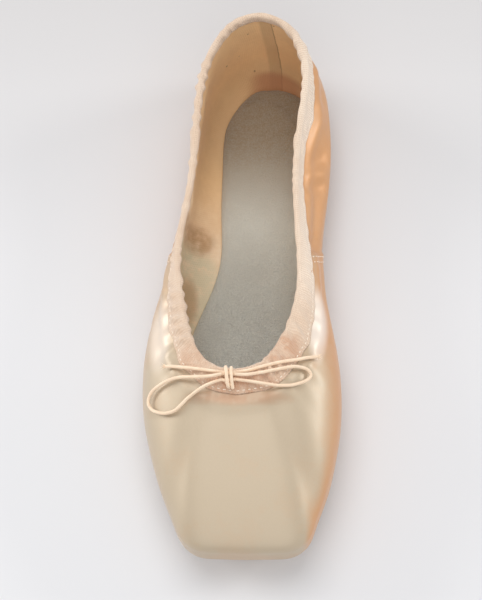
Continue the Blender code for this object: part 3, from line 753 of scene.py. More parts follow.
def lining_material(colours):
    """Tan cotton lining with its heel seam and strip, glue marks and stains, and painted shade low down at the
    heel and along the insole's edge.
    """
    paint = Paint("cotton lining", {"Roughness": 0.82, "Specular IOR Level": 0.3, "Sheen Weight": 0.15})
    x, y, z = paint.split(paint.place)
    place = paint.place
    paint.start(paint.ramp(y, 0.062, 0.020), colours.lining_heel, colours.lining_front)
    paint.tint(colours.lining_shade, paint.ramp(paint.mottle(75.0, 500.0), 0.30, 0.70, 0.0, 0.5))
    glue = paint.spot((x, y), (-0.0235, 0.004), (0.0120, 0.0210), 0.5)
    flaked = paint.ramp(paint.cloudy(place, 150.0, 6.0, 0.75), 0.30, 0.56, 0.20, 1.0)
    paint.tint(colours.glue, glue, flaked, 0.9)
    smear = paint.ramp(paint.cloudy(place, 170.0, 3.0, 0.6), 0.25, 0.62, 0.35, 1.0)
    paint.tint(colours.stain, paint.spot((x, y), (-0.0215, 0.0280), (0.0065, 0.0062), 0.9), smear, 0.75)
    paint.tint(colours.stain, paint.spot((x, y), (-0.0260, 0.0000), (0.0045, 0.0100), 0.8), 0.55)
    specks = paint.ramp(paint.cells(place, 120.0), 0.085, 0.035)
    paint.tint(colours.speck, specks, paint.ramp(y, 0.085, 0.105), 0.7)
    heel_end = paint.ramp(y, 0.088, 0.102)
    shiver = paint.times(paint.cloudy(place, 240.0, 2.0), 0.0009)
    slanted = paint.plus(paint.minus(x, shiver), paint.times(z, HEEL_SEAM_SLANT))
    strip = paint.times(paint.ramp(slanted, 0.0080, 0.0096), paint.ramp(slanted, 0.0146, 0.0140))
    paint.tint(colours.heel_strip_and_shade, strip, heel_end, 0.36)
    paint.tint(colours.speck, paint.spot((slanted,), (0.0142,), (0.00028,), 0.7), heel_end, 0.42)
    # Painted shade: darker and browner low down towards the heel
    paint.tint(colours.heel_strip_and_shade, paint.ramp(z, 0.018, 0.006), paint.ramp(y, 0.040, 0.080), 0.40)
    # Painted shade: a reddish dark line where the lining meets the insole at the heel
    foot = paint.times(paint.ramp(z, 0.0090, 0.0062), paint.spot((x,), (0.0130,), (0.0120,), 0.8))
    paint.tint(colours.sock_edge_shade, foot, heel_end, 0.70)
    return paint.finished((paint.weave(6200.0, 6200.0, 3.0), 0.5, 0.00010),
                          (paint.cloudy(place, 160.0, 3.0, 0.6), 0.4, 0.0007))


def suede_material(colours):
    """Grey suede insole, browner towards the heel, partly by painted shade, with a pebbled front whose hollows
    are darkened by painted shade.
    """
    paint = Paint("insole suede", {
        "Roughness": 0.93, "Specular IOR Level": 0.25, "Sheen Weight": 0.4, "Sheen Roughness": 0.6,
    })
    x, y, _ = paint.split(paint.place)
    paint.start(paint.ramp(paint.mottle(60.0, 1500.0), 0.30, 0.70), colours.suede, colours.suede_shade)
    # Browner from the middle towards the heel: partly the suede's own colour at the heel, partly painted shade
    heel = paint.plus(paint.ramp(y, -0.035, 0.010, 0.0, 0.34), paint.ramp(y, 0.030, 0.085, 0.0, 0.64))
    paint.tint(colours.suede_heel_and_shade, heel)
    inner = paint.spot((x, y), (0.0030, 0.0700), (0.0212, 0.0290), 0.16)
    outer = paint.spot((x, y), (0.0030, 0.0700), (0.0228, 0.0308), 0.16)
    arc = paint.minus(outer, inner, clamp=True)
    paint.tint(colours.speck, arc, paint.ramp(y, 0.084, 0.090), 0.3)
    grain = paint.cloudy(paint.place, 1500.0, 3.0, 0.7)
    paint.tint(colours.suede_fleck_and_shade, paint.ramp(grain, 0.35, 0.65, 0.0, 0.22))
    pebbles = paint.cells(paint.stretched(paint.place, (700.0, 1050.0, 700.0)), feature="SMOOTH_F1")
    wrinkle = paint.cloudy(paint.stretched(paint.place, (300.0, 760.0, 300.0)), 1.0, 4.0, 0.6, 0.8)
    rough = paint.plus(pebbles, wrinkle)
    front = paint.ramp(y, 0.040, -0.020, 0.3, 1.0)
    # Painted shade in the hollows of the pebbled front
    paint.tint(colours.suede_fleck_and_shade, paint.ramp(rough, 1.00, 0.72), front, 0.38)
    return paint.finished((paint.times(rough, front), 0.8, 0.0010), (grain, 0.7, 0.0004))


def leather_material(colours):
    """Buffed tan sole leather with fine, paler scratches."""
    paint = Paint("buffed leather", {})
    tone = paint.mottle(45.0, 700.0)
    paint.start(paint.ramp(tone, 0.30, 0.70), colours.sole, colours.sole_shade)
    scratches = paint.cloudy(paint.stretched(paint.place, (1300.0, 90.0, 1300.0)), 1.0, 3.0, 0.7)
    paint.tint(colours.suede, paint.ramp(scratches, 0.62, 0.74, 0.0, 0.35))
    return paint.finished((paint.cells(paint.place, 1500.0), 0.3, 0.00012), (scratches, 0.25, 0.0002),
                          rough=paint.ramp(tone, 0.3, 0.7, 0.50, 0.72))


def cord_material(colours):
    """Round woven drawstring: fine slanting ribs along the cord."""
    paint = Paint("woven cord", {"Roughness": 0.62, "Specular IOR Level": 0.4, "Sheen Weight": 0.3})
    cloth = paint.cloth()
    u, v, _ = paint.split(cloth)
    along = paint.times(u, 6900.0)
    round_it = paint.times(v, 4 * math.pi)
    slant = paint.maths("SINE", paint.plus(along, round_it))
    braid = paint.times(slant, paint.maths("SINE", paint.minus(along, round_it)))
    tone = paint.cloudy(paint.stretched(cloth, (260.0, 2.0, 1.0)), 1.0, 2.0)
    paint.start(paint.ramp(tone, 0.3, 0.7, 0.0, 0.4), colours.cord, colours.cord_shade)
    paint.tint(colours.cord_shade, paint.ramp(braid, 0.2, -0.9, 0.0, 0.25))
    return paint.finished((braid, 0.45, 0.00012))


def thread_material(colours):
    paint = Paint("sewing thread", {"Roughness": 0.55})
    twist = paint.cloudy(paint.place, 3500.0, 1.0)
    paint.start(paint.ramp(twist, 0.3, 0.7, 0.0, 0.5), colours.thread, colours.tape_shade)
    return paint.finished((twist, 0.4, 0.0001))


def floor_material(colours):
    """Plain studio floor, greyer behind the heel."""
    paint = Paint("studio floor", {"Roughness": 0.8, "Specular IOR Level": 0.2})
    _, y, _ = paint.split(paint.place)
    paint.start(paint.ramp(y, -0.04, 0.20), colours.floor, colours.floor_back)
    return paint.finished()


# Each finish's material name and what makes it
FINISHES = {
    "satin": ("peach satin", satin_material), "tape": ("cotton tape", tape_material),
    "lining": ("cotton lining", lining_material), "suede": ("insole suede", suede_material),
    "leather": ("buffed leather", leather_material), "cord": ("woven cord", cord_material),
    "thread": ("sewing thread", thread_material), "floor": ("studio floor", floor_material),
}


def finish_of(name):
    """The shoe's material of that kind, made once."""
    label, make = FINISHES[name]
    return bpy.data.materials.get(label) or make(bpy.context.scene.shoe_colours)


# Properties that a user would change


def length_property(name, description, default):
    return FloatProperty(name=name, description=description, default=default, min=0.0, unit="LENGTH",
                         precision=5)


def colour_property(name, description, *picked):
    return FloatVectorProperty(name=name, description=description, default=srgb(*picked), subtype="COLOR",
                               size=3, min=0.0, max=1.0)


class ShoeLooks(bpy.types.PropertyGroup):
    """Relief and fineness of the shoe's cloth and stitching."""

    steps: IntProperty(name="Steps", description="Ribs between two key sections", default=12, min=2)
    rings: IntProperty(name="Rings", description="Rings from the collar to the sole", default=96, min=12)
    satin_thickness: length_property("Satin", "Thickness of the satin layer", 0.0006)
    lining_thickness: length_property("Lining", "Thickness of the lining layer", 0.0006)
    tape_thickness: length_property("Tape", "Thickness of the binding tape", 0.0005)
    gather_height: length_property("Gathers", "Height of the gathers under the tape", 0.00055)
    pucker_height: length_property("Puckers", "Height of the tape's puckers", 0.0018)
    seam_height: length_property("Seam lap", "Height of the vamp's lap over the quarter", 0.00055)
    pleat_pitch: length_property("Pleat pitch", "Distance between two toe pleats", 0.0052)
    pleat_depth: length_property("Pleat depth", "Depth of the toe pleats", 0.0010)
    stitch_pitch: length_property("Stitch pitch", "Distance between two stitches", 0.0024)
    stitch_length: length_property("Stitch length", "Length of one stitch", 0.0014)
    thread_radius: length_property("Thread radius", "Radius of the sewing thread", 0.00022)


class ShoeColours(bpy.types.PropertyGroup):
    """Colours of the shoe's materials."""

    satin: colour_property("Satin", "Satin on the vamp", 192, 175, 150)
    # Painted shade: the satin's warmer, darker colour on the quarters, low down and on the right flank
    painted_satin_shade: colour_property("Quarter satin", "Satin on the quarters and low down", 206, 150, 98)
    satin_thread: colour_property("Satin thread", "Pale thread that floats on the satin", 226, 204, 178)
    # Painted shade on the satin under the bow
    painted_bow_shade: colour_property("Shade at the bow", "Satin in the tuck under the bow", 178, 130, 96)
    # Painted highlight: pale sheen on the satin at both wings, outside the tape
    painted_satin_sheen: colour_property("Satin sheen", "Satin pulled tight outside the tape", 250, 236, 222)
    tape: colour_property("Tape", "Binding tape", 234, 212, 190)
    # Painted light on the tape along the right side
    tape_painted_light: colour_property("Pale tape", "Tape along the side, which was handled least", 255, 240, 222)
    tape_shade: colour_property("Tape shade", "Darker threads of the tape", 216, 184, 156)
    # Reddish tint of the tape at the throat, partly painted shade in the hollows beside and under the bow
    blush_and_shade: colour_property("Blush", "Reddish tint of the tape at the throat", 200, 144, 108)
    lining_heel: colour_property("Heel lining", "Lining round the heel", 242, 204, 154)
    lining_front: colour_property("Front lining", "Lining of the sides", 246, 222, 192)
    lining_shade: colour_property("Lining shade", "Darker parts of the lining", 224, 184, 138)
    glue: colour_property("Glue", "Pale grey glue marks", 216, 204, 174)
    stain: colour_property("Stain", "Brown stains of the lining", 176, 132, 88)
    # Used for the strip over the heel's seam, and as painted shade low down on the heel lining
    heel_strip_and_shade: colour_property("Heel strip", "Strip over the heel's seam", 160, 132, 100)
    # Painted shade where the lining meets the insole at the heel
    sock_edge_shade: colour_property("Rust", "Reddish line over the heel end of the insole", 168, 114, 84)
    speck: colour_property("Speck", "Small dark marks", 92, 70, 52)
    suede: colour_property("Suede", "Grey suede of the insole", 240, 242, 232)
    suede_shade: colour_property("Suede shade", "Darker nap of the insole", 228, 228, 218)
    # Browner suede towards the heel, partly painted shade
    suede_heel_and_shade: colour_property("Suede at the heel", "Browner suede under the heel", 130, 108, 78)
    # Darker flecks of the suede, also used as painted shade in the hollows of the pebbled front
    suede_fleck_and_shade: colour_property("Suede cracks", "Darker flecks of the insole", 186, 188, 180)
    sole: colour_property("Sole", "Sole leather", 196, 158, 118)
    sole_shade: colour_property("Sole shade", "Darker parts of the sole leather", 168, 128, 92)
    cord: colour_property("Drawstring", "Drawstring", 252, 228, 200)
    cord_shade: colour_property("Drawstring shade", "Darker threads of the drawstring", 236, 202, 168)
    thread: colour_property("Thread", "Sewing thread", 252, 240, 224)
    floor: colour_property("Floor", "Studio floor", 226, 226, 228)
    floor_back: colour_property("Floor behind", "Studio floor behind the heel", 204, 202, 202)


def looks():
    return bpy.context.scene.shoe_looks


# Operators


class SHOE_OT_stage(bpy.types.Operator):
    """Make the floor, the lights and the camera"""

    bl_idname = "shoe.stage"
    bl_label = "Stage"

    def execute(self, context):
        make_camera()
        make_floor()
        make_lights()
        return {"FINISHED"}


class SHOE_OT_bow(bpy.types.Operator):
    """Lay the drawstring's bow and its knot over the throat"""

    bl_idname = "shoe.bow"
    bl_label = "Bow"

    def execute(self, context):
        make_bow()
        return {"FINISHED"}


class SHOE_OT_upper(bpy.types.Operator):
    """Make the satin and the lining"""

    bl_idname = "shoe.upper"
    bl_label = "Upper"

    def execute(self, context):
        make_satin()
        make_lining()
        return {"FINISHED"}


class SHOE_OT_binding(bpy.types.Operator):
    """Fold the tape over the collar's edge"""

    bl_idname = "shoe.binding"
    bl_label = "Binding"

    def execute(self, context):
        make_binding()
        return {"FINISHED"}


class SHOE_OT_soles(bpy.types.Operator):
    """Make the leather outsole and the suede sock"""

    bl_idname = "shoe.soles"
    bl_label = "Soles"

    def execute(self, context):
        make_outsole()
        make_sock()
        return {"FINISHED"}


class SHOE_OT_stitches(bpy.types.Operator):
    """Sew the tape and the side seams"""

    bl_idname = "shoe.stitches"
    bl_label = "Stitches"

    def execute(self, context):
        make_stitches()
        return {"FINISHED"}


class SHOE_PT_panel(bpy.types.Panel):
    """Lists the shoe's operators, sizes and colours"""

    bl_idname = "SHOE_PT_panel"
    bl_label = "Pointe shoe"
    bl_space_type = "VIEW_3D"
    bl_region_type = "UI"
    bl_category = "Shoe"

    def draw(self, context):
        column = self.layout.column(align=True)
        for operator in OPERATORS:
            column.operator(operator.bl_idname)
        for group in (context.scene.shoe_looks, context.scene.shoe_colours):
            for name in type(group).__annotations__:
                column.prop(group, name)


OPERATORS = (SHOE_OT_stage, SHOE_OT_bow, SHOE_OT_upper, SHOE_OT_binding, SHOE_OT_soles, SHOE_OT_stitches)
CLASSES = (ShoeLooks, ShoeColours, *OPERATORS, SHOE_PT_panel)


def register():
    for each in CLASSES:
        bpy.utils.register_class(each)
    bpy.types.Scene.shoe_looks = PointerProperty(type=ShoeLooks)
    bpy.types.Scene.shoe_colours = PointerProperty(type=ShoeColours)


def unregister():
    del bpy.types.Scene.shoe_looks
    del bpy.types.Scene.shoe_colours
    for each in reversed(CLASSES):
        bpy.utils.unregister_class(each)


# Stage

CAMERA_DISTANCE = 0.900
CAMERA_ELEVATION = 66.0
CAMERA_ASIDE = 0.042
CAMERA_AIM = (0.0, -0.005, 0.020)
FOCAL_PIXELS = 2098.0
IMAGE_HEIGHT = 600.0
SENSOR_WIDTH = 36.0
CAMERA_TURN = 2.78


def make_camera():
    """A camera where the photograph's stood, turned a little so that this shoe is in the middle."""
    angle = math.radians(CAMERA_ELEVATION)
    back = Vector((0.0, -math.cos(angle), math.sin(angle)))
    turn = math.radians(CAMERA_TURN)
    right = Vector((1.0, 0.0, 0.0)) * math.cos(turn) - back * math.sin(turn)
    behind = back * math.cos(turn) + Vector((1.0, 0.0, 0.0)) * math.sin(turn)
    up = behind.cross(right)
    data = bpy.data.cameras.new("camera")
    data.sensor_width = SENSOR_WIDTH
    data.lens = FOCAL_PIXELS * SENSOR_WIDTH / IMAGE_HEIGHT
    data.clip_start = 0.05
    data.clip_end = 20.0
    camera = bpy.data.objects.new("camera", data)
    place = Vector(CAMERA_AIM) + back * CAMERA_DISTANCE + Vector((CAMERA_ASIDE, 0.0, 0.0))
    axes = Matrix((right, up, behind)).transposed()
    camera.matrix_world = Matrix.Translation(place) @ axes.to_4x4()
    bpy.context.scene.collection.objects.link(camera)
    bpy.context.scene.camera = camera


FLOOR_DROP = 0.0001


def make_floor():
    bm = bmesh.new()
    bmesh.ops.create_grid(bm, x_segments=1, y_segments=1, size=4.0)
    mesh = bpy.data.meshes.new("floor")
    bm.to_mesh(mesh)
    bm.free()
    mesh.transform(Matrix.Translation((0.0, 0.0, -FLOOR_DROP)))
    floor = bpy.data.objects.new("floor", mesh)
    bpy.context.scene.collection.objects.link(floor)
    mesh.materials.append(finish_of("floor"))


# Lights: name, place, what it points at, size in metres, power in watts, colour
LIGHTS = (
    ("overhead", (-0.20, 0.90, 2.80), (0.0, 0.0, 0.02), 2.4, 34.0, (1.0, 1.0, 1.0)),
    ("front", (0.10, -2.00, 2.10), (0.0, 0.0, 0.02), 3.4, 26.0, (1.0, 0.995, 0.985)),
    ("left window", (-2.40, 0.90, 0.95), (0.0, 0.0, 0.02), 1.3, 30.0, (1.0, 0.99, 0.97)),
    ("right window", (2.40, 0.70, 1.00), (0.0, 0.0, 0.03), 0.8, 20.0, (1.0, 0.985, 0.96)),
)
SKY_COLOUR = (0.97, 0.98, 1.0)
SKY_STRENGTH = 0.48


def make_lights():
    for name, place, aim, size, power, colour in LIGHTS:
        data = bpy.data.lights.new(name, "AREA")
        data.shape = "DISK"
        data.size = size
        data.energy = power
        data.color = colour
        light = bpy.data.objects.new(name, data)
        towards = Vector(aim) - Vector(place)
        light.rotation_mode = "QUATERNION"
        light.rotation_quaternion = towards.to_track_quat("-Z", "Y")
        light.location = place
        bpy.context.scene.collection.objects.link(light)
    world = bpy.data.worlds.new("studio")
    world.use_nodes = True
    background = world.node_tree.nodes["Background"]
    background.inputs["Color"].default_value = (*SKY_COLOUR, 1.0)
    background.inputs["Strength"].default_value = SKY_STRENGTH
    bpy.context.scene.world = world
    bpy.context.scene.view_settings.view_transform = "Standard"


# Bow


def smooth_route(points, spacing):
    """Points evenly spaced along a smooth curve through the route's own points, in metres."""
    knots = np.array(points) * MM
    knots = np.vstack([2 * knots[0] - knots[1], knots, 2 * knots[-1] - knots[-2]])
    fine = [knots[1]]
    for before, start, end, after in zip(knots, knots[1:], knots[2:], knots[3:]):
        for share in np.linspace(0, 1, 25)[1:]:
            bend = (2 * before - 5 * start + 4 * end - after) * share**2
            twist = (3 * start - before - 3 * end + after) * share**3
            fine.append(start + ((end - before) * share + bend + twist) / 2)
    fine = np.array(fine)
    measure = np.append(0.0, np.cumsum(np.linalg.norm(np.diff(fine, axis=0), axis=1)))
    at = np.linspace(0, measure[-1], round(measure[-1] / spacing) + 1)
    return read_at(at, measure, fine)


def tube_mesh(name, centre, radius, sides=16):
    """A round cord along a centreline, dished at its start and domed at its end, with its cloth map."""
    tangents = np.gradient(centre, axis=0)
    tangents /= np.linalg.norm(tangents, axis=1)[:, None]
    side = np.cross(tangents[0], (0.0, 0.0, 1.0))
    side /= np.linalg.norm(side)
    frames = []
    for tangent in tangents:
        side = side - tangent * (side @ tangent)
        side /= np.linalg.norm(side)
        frames.append((side, np.cross(tangent, side)))
    run = np.append(0.0, np.cumsum(np.linalg.norm(np.diff(centre, axis=0), axis=1)))
    turn = np.linspace(0.0, math.pi / 2, CAP_RINGS + 1)
    reach = CAP_LENGTH * radius
    first = centre[0] - tangents[0] * (reach * np.cos(turn[::-1]))[:, None]
    last = centre[-1] + tangents[-1] * (reach * np.sin(turn))[:, None]
    line = np.vstack([first[:-1], centre, last[1:]])
    cap = radius * np.sin(turn)
    girths = np.concatenate([cap[:-1], np.full(len(centre), radius), cap[::-1][1:]])
    measure = np.concatenate([np.full(CAP_RINGS, run[0]), run, np.full(CAP_RINGS, run[-1])])
    frames = [frames[0]] * CAP_RINGS + frames + [frames[-1]] * CAP_RINGS
    angles = np.arange(sides) / sides * 2 * math.pi
    rows = np.zeros((sides, len(line), 3))
    for j, ((a, b), point, girth) in enumerate(zip(frames, line, girths)):
        rows[:, j] = point + girth * (np.cos(angles)[:, None] * a + np.sin(angles)[:, None] * b)
    across = np.tile(np.arange(len(line)), (sides, 1))
    mesh = wrapped_mesh(name, rows, across.astype(float), np.arange(sides + 1) / sides)
    corner = mesh.uv_layers["cloth"].data
    uv = np.empty(len(mesh.loops) * 2)
    corner.foreach_get("uv", uv)
    uv = uv.reshape(-1, 2)
    lengthwise = measure[np.rint(uv[:, 1]).astype(int)]
    corner.foreach_set("uv", np.column_stack([lengthwise, uv[:, 0]]).ravel())
    return mesh


def joined(name, meshes):
    """One mesh out of several, which keeps their cloth maps."""
    bm = bmesh.new()
    for mesh in meshes:
        bm.from_mesh(mesh)
    whole = bpy.data.meshes.new(name)
    bm.to_mesh(whole)
    bm.free()
    for mesh in meshes:
        bpy.data.meshes.remove(mesh)
    return whole


# Loose threads at a cut end: how many, their length, how deep they root and their radii
FRAY_THREADS = 26
FRAY_LENGTH = 0.0030
FRAY_DEPTH = 0.0006
FRAY_ROOT = 0.00016
FRAY_TIP = 0.00004


def fray_mesh(path):
    """A tuft of loose threads at the cut end of a cord."""
    rng = np.random.default_rng(4)
    along = Vector(path[-1] - path[-4]).normalized()
    bm = bmesh.new()
    for spread, turn, share in rng.uniform((0.0, 0.0, 0.55), (0.75, 2 * math.pi, 1.0), (FRAY_THREADS, 3)):
        side = along.orthogonal().normalized()
        side.rotate(Matrix.Rotation(turn, 3, along))
        heading = (along + side * spread).normalized()
        length = FRAY_LENGTH * share
        middle = Vector(path[-1]) + side * CORD_DIAMETER * 0.18 + heading * (length / 2 - FRAY_DEPTH)
        place = Matrix.Translation(middle) @ heading.to_track_quat("Z", "Y").to_matrix().to_4x4()
        bmesh.ops.create_cone(bm, segments=5, radius1=FRAY_ROOT, radius2=FRAY_TIP, depth=length,
                              matrix=place)
    mesh = bpy.data.meshes.new("fray")
    bm.to_mesh(mesh)
    bm.free()
    return mesh


# Where the strand between the loops' far ends passes through the knot
KNOT_STRAND = (-0.0046, -0.0544, 0.0505)


def make_bow():
    """Two loops and two ends, and the cord wrapped upright round them for the knot."""
    finish = finish_of("cord")
    paths = {name: smooth_route(route, 0.0008) for name, route in ROUTES.items()}
    pieces = {}
    for name, path in paths.items():
        mesh = tube_mesh("cord_" + name, path, CORD_DIAMETER / 2)
        if name.startswith("end"):
            mesh = joined("cord_" + name, [mesh, fray_mesh(path)])
        pieces[name] = add_piece("cord_" + name, mesh, finish)
        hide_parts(name)
    wrap = [tube_mesh("wrap", smooth_route(KNOT_WRAP, 0.0004), CORD_DIAMETER / 2)]
    for left, right in (("loop_left", "end_right"), ("end_left", "loop_right")):
        ends = np.array([paths[left][0], (paths[left][0] + paths[right][0]) / 2, paths[right][0]])
        wrap.append(tube_mesh("strand", smooth_route(ends / MM, 0.0008), CORD_DIAMETER / 2))
    ends = np.array([paths["loop_left"][-1], KNOT_STRAND, paths["loop_right"][-1]])
    wrap.append(tube_mesh("strand", smooth_route(ends / MM, 0.0008), CORD_DIAMETER / 2))
    knot = add_piece("cord_knot", joined("cord_knot", wrap), finish)
    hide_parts("knot")
    for name, far_end, others in (("loop_left", "knot", [knot]), ("loop_right", "knot", [pieces["end_left"]]),
                                  ("end_right", "bare", [])):
        path = paths[name]


# Upper


def make_satin():
    settings = looks()
    shell = Shell(settings.steps, settings.rings)
    points = shell.points + shell.normals * satin_height(shell, settings)[:, :, None]
    mesh = wrapped_mesh("satin", points[:, ::-1], shell.depth[:, ::-1], shell.girth_at)
    piece = add_piece("satin", mesh, finish_of("satin"))
    solidify(piece, settings.satin_thickness, -1.0)
    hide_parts("upper")


def make_lining():
    settings = looks()
    shell = Shell(settings.steps // 2, settings.rings // 2)
    inward = settings.satin_thickness + LINING_GAP
    inward += (WALL - settings.lining_thickness - inward) * swell(shell.depth, 0.003, 0.016)
    inward -= crease_height(shell)
    points = shell.points - shell.normals * inward[:, :, None]
    mesh = wrapped_mesh("lining", points[:, ::-1], shell.depth[:, ::-1], shell.girth_at)
    piece = add_piece("lining", mesh, finish_of("lining"))
    solidify(piece, settings.lining_thickness, -1.0)


# Binding


def tape_surface(settings):
    """The tape's middle face: outer leg, fold over the drawstring and a short turn inside, with puckers."""
    all_ribs = ribs(settings.steps * 2)
    collar_at = Shell.lengthwise(np.array([rib.path[0] for rib in all_ribs]))
    run = collar_at[:-1]
    signed = np.where(run > collar_at[-1] / 2, run - collar_at[-1], run)
    reach = tape_reach(all_ribs)[:, None]
    half = settings.tape_thickness / 2
    outer = TAPE_CLEAR + half
    inner = settings.satin_thickness + LINING_GAP + settings.lining_thickness + TAPE_CLEAR + half
    # Shares of the outer leg, then turns over the edge, then shares of the turned-in leg
    legs = np.linspace(1.0, 0.0, 19)
    turn = np.linspace(0.0, math.pi, 13)[1:-1]
    turned = np.linspace(0.0, 1.0, 7)
    count = len(all_ribs)
    depth = np.hstack([reach * legs, np.zeros((count, len(turn))), np.tile(TAPE_TURN * turned, (count, 1))])
    over = np.concatenate([0 * legs, 0.0012 * np.sin(turn), 0 * turned])
    swing = (outer - inner) / 2 + (outer + inner) / 2 * np.cos(turn)
    out = np.concatenate([outer + 0 * legs, swing, -inner + 0 * turned])
    base = np.array([rib.at_run(row) for rib, row in zip(all_ribs, depth)])
    near = np.array([rib.at_run(np.maximum(row - 0.0008, 0.0)) for rib, row in zip(all_ribs, depth)])
    far = np.array([rib.at_run(row + 0.0008) for rib, row in zip(all_ribs, depth)])
    down = far - near
    down /= np.linalg.norm(down, axis=2)[:, :, None]
    normal = np.cross(down, np.roll(base, -1, axis=0) - np.roll(base, 1, axis=0))
    normal /= np.linalg.norm(normal, axis=2)[:, :, None]
    # Puckers: soft bulges that the drawstring gathers, largest beside the throat
    total = collar_at[-1]
    phase = waves(signed, total, 0.0078) + 0.7 * wander(signed, total, 0.015, 2)
    skew = 0.8 * (depth / TAPE_WIDTH)
    bulge = (0.5 - 0.5 * np.cos(2 * math.pi * (phase[:, None] + skew))) ** 1.4
    strength = 0.28 + 0.72 * np.clip(hump(signed, -0.032, 0.034) + hump(signed, 0.026, 0.020), 0, 1)
    strength += 0.40 * hump(np.abs(signed), 0.150, 0.034)
    strength = (strength * (0.80 + 0.35 * wander(signed, total, 0.009, 8)))[:, None]
    outside = out > 0.5 * outer
    inside = out < -0.5 * inner
    casing = hump(depth, 0.38 * reach, 0.34 * reach) * outside + 0.8 * hump(depth, 0.001, 0.002) * inside
    casing = casing * np.sign(out)
    lift = (settings.pucker_height * bulge * strength + 0.00015) * casing
    # Stitching pulls the tape in along its hem, and the hem's edge waves a little
    hem = hump(depth, reach - HEM, 0.0007) * outside
    lift -= 0.00026 * hem
    edge = swell(depth, reach - 0.0012, reach) * outside
    lift += (0.00012 * wander(signed, total, 0.0042, 6) - 0.00024)[:, None] * edge
    follow = swell(depth - reach, -0.004, 0.0005) * outside
    lift += settings.gather_height * gathers(signed, total)[:, None] * follow
    # The place where the tape's end laps over its start, on the right of the heel
    lap = swell(signed, TAPE_JOIN - 0.0012, TAPE_JOIN)
    lap *= 1 - swell(signed, TAPE_JOIN + 0.004, TAPE_JOIN + 0.012)
    lift += 0.00050 * lap[:, None] * np.sign(out) * (outside | inside)
    slide = (0.0007 * wander(signed, total, 0.0065, 4))[:, None] * (0.3 + strength) * (depth / TAPE_WIDTH)
    points = base + normal * (out + lift)[:, :, None] + down * slide[:, :, None]
    crest = 1 + 0.30 * bulge * strength + 0.15 * wander(signed, total, 0.005, 11)[:, None]
    points -= down * (over * crest)[:, :, None]
    return points, depth[:, :len(legs)], reach[:, 0], collar_at


def make_binding():
    settings = looks()
    points, _, _, collar_at = tape_surface(settings)
    mesh = wrapped_mesh("tape", points, run_down(points), collar_at)
    piece = add_piece("tape", mesh, finish_of("tape"))
    solidify(piece, settings.tape_thickness, 0.0)
    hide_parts("binding")


# Soles


def plate_rows(all_ribs, reaches, heights):
    """Rows of points at these distances from the spine, one column a rib."""
    rows = []
    for rib, reach, height in zip(all_ribs, reaches, heights):
        plan = rib.spine + rib.outward * reach[:, None]
        rows.append(np.column_stack([plan, height]))
    return np.array(rows)


def run_down(rows):
    steps = np.linalg.norm(np.diff(rows, axis=1), axis=2)
    return np.hstack([np.zeros((len(rows), 1)), np.cumsum(steps, axis=1)])


def make_outsole():
    """The leather sole: flat on the floor, with a rounded edge, a shallow channel and a raised middle."""
    all_ribs = ribs(looks().steps)
    # How far in from the edge, and how high over the underside
    edge = ((7.5, 0.0), (5.2, 0.0), (4.9, 0.0), (4.5, 0.28), (4.1, 0.28), (3.7, 0.0), (3.4, 0.0), (1.6, 0.0),
            (0.8, 0.04), (0.35, 0.18), (0.08, 0.45), (0.0, 0.8), (0.0, 1.25), (0.1, 1.6),
            (0.4, 1.9), (0.9, 2.0))
    reaches = []
    heights = []
    for rib in all_ribs:
        island = rib.opening - GAP - WALL / 2
        inner = np.array([0.0, 0.35, 0.7, 0.88]) * (rib.sole - 0.0075)
        margin = rib.sole - np.array([row[0] for row in edge]) * MM
        top = np.array([island, island, 0.5 * island, 0.0])
        reach = np.concatenate([inner, margin, top])
        rise = np.concatenate([
            np.zeros(4), [row[1] * MM for row in edge],
            np.array([SOLE_THICKNESS, SOLE_THICKNESS + WALL, SOLE_THICKNESS + WALL, SOLE_THICKNESS + WALL]),
        ])
        reaches.append(reach)
        heights.append(floor_line(rib.spine[1] + rib.outward[1] * reach) + rise)
    rows = plate_rows(all_ribs, reaches, heights)
    mesh = wrapped_mesh("leather_sole", rows, run_down(rows), Shell.lengthwise(rows[:, -5]))
    piece = add_piece("leather_sole", mesh, finish_of("leather"))
    mesh.set_sharp_from_angle(angle=math.radians(50))
    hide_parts("outsole")


def make_sock():
    """The suede insole, whose skived edge comes down to the seat."""
    all_ribs = ribs(looks().steps)
    reaches = []
    heights = []
    for rib in all_ribs:
        spread = np.linspace(0.0, 1.0, 22)
        under = spread * rib.sock
        seat = rib.seat(under) + SOCK_GAP
        edge = np.array([0.0001, 0.0009, 0.0018, 0.0030, 0.0045])
        over = np.concatenate([rib.sock - edge, spread[::-1][1:] * (rib.sock - 0.0045)])
        inward = np.clip((rib.sock - over) / SOCK_SKIVE, 0.0, 1.0)
        thick = SOCK_THICKNESS * (0.22 + 0.78 * (1 - (1 - inward) ** 2.2))
        reaches.append(np.concatenate([under, [rib.sock + 0.0001], over]))
        heights.append(np.concatenate([seat, [seat[-1] + 0.00022], rib.seat(over) + SOCK_GAP + thick]))
    rows = plate_rows(all_ribs, reaches, heights)
    mesh = wrapped_mesh("suede_sock", rows, run_down(rows), Shell.lengthwise(rows[:, 21]))
    piece = add_piece("suede_sock", mesh, finish_of("suede"))
    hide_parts("sock")


# Stitches


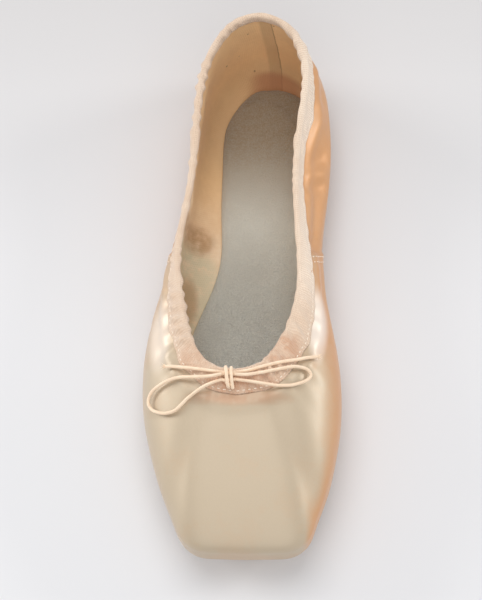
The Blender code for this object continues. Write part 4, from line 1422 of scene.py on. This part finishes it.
def stitch_mesh(name, line, normals, settings):
    """A row of stitches along a line of places, each a short flattened bead of thread."""
    run = np.append(0.0, np.cumsum(np.linalg.norm(np.diff(line, axis=0), axis=1)))
    count = int(run[-1] // settings.stitch_pitch)
    bm = bmesh.new()
    for k in range(count):
        at = (k + 0.5) * settings.stitch_pitch
        before = read_at(at - STITCH_STEP, run, line)
        after = read_at(at + STITCH_STEP, run, line)
        along = Vector(after - before).normalized()
        up = Vector(read_at(at, run, normals))
        up = (up - along * up.dot(along)).normalized()
        side = up.cross(along)
        axes = Matrix((along, side, up)).transposed()
        halves = (settings.stitch_length / 2, settings.thread_radius * 1.2, settings.thread_radius)
        place = Matrix.Translation(Vector(read_at(at, run, line))) @ (axes @ Matrix.Diagonal(halves)).to_4x4()
        bmesh.ops.create_uvsphere(bm, u_segments=8, v_segments=5, radius=1.0, matrix=place)
    mesh = bpy.data.meshes.new(name)
    bm.to_mesh(mesh)
    bm.free()
    return mesh


def make_stitches():
    """Machine stitching along the tape's edge, and two rows down each side seam."""
    settings = looks()
    shell = Shell(settings.steps, settings.rings)
    relief = shell.points + shell.normals * satin_height(shell, settings)[:, :, None]
    tape, depth, reach, _ = tape_surface(settings)
    outward = round_normals(tape[:, ::-1])[:, ::-1]
    line = []
    normal = []
    for rib_depth, rib_reach, places, directions in zip(depth[:, ::-1], reach, tape, outward):
        hem = rib_reach - HEM
        leg = len(rib_depth)
        line.append(read_at(hem, rib_depth, places[leg - 1::-1]))
        normal.append(read_at(hem, rib_depth, directions[leg - 1::-1]))
    line = np.array(line + line[:1])
    normal = np.array(normal + normal[:1])
    line += normal * settings.tape_thickness / 2
    rows = [stitch_mesh("tape row", line, normal, settings)]
    back = len(shell.ribs) // 2
    for own in (np.arange(1, back), np.arange(back + 1, len(shell.ribs))):
        for offset in (-0.0014, -0.0040):
            track = []
            track_normals = []
            for j in range(shell.points.shape[1]):
                behind = shell.points[own, j, 1] - seam_line(shell.points[own, j, 2])
                column = own[np.argsort(behind)]
                behind = np.sort(behind)
                deep = np.interp(offset, behind, (shell.depth - shell.tape)[column, j])
                point = read_at(offset, behind, relief[column, j])
                if deep > 0.0006 and point[2] > 0.0045:
                    track.append(point)
                    track_normals.append(read_at(offset, behind, shell.normals[column, j]))
            track = np.array(track) + np.array(track_normals) * settings.thread_radius * 0.4
            rows.append(stitch_mesh("seam row", track, np.array(track_normals), settings))
    add_piece("stitches", joined("stitches", rows), finish_of("thread"))


def main():
    register()
    for operator in OPERATORS:
        area, name = operator.bl_idname.split(".")
        getattr(getattr(bpy.ops, area), name)()


if __name__ == "__main__":
    main()
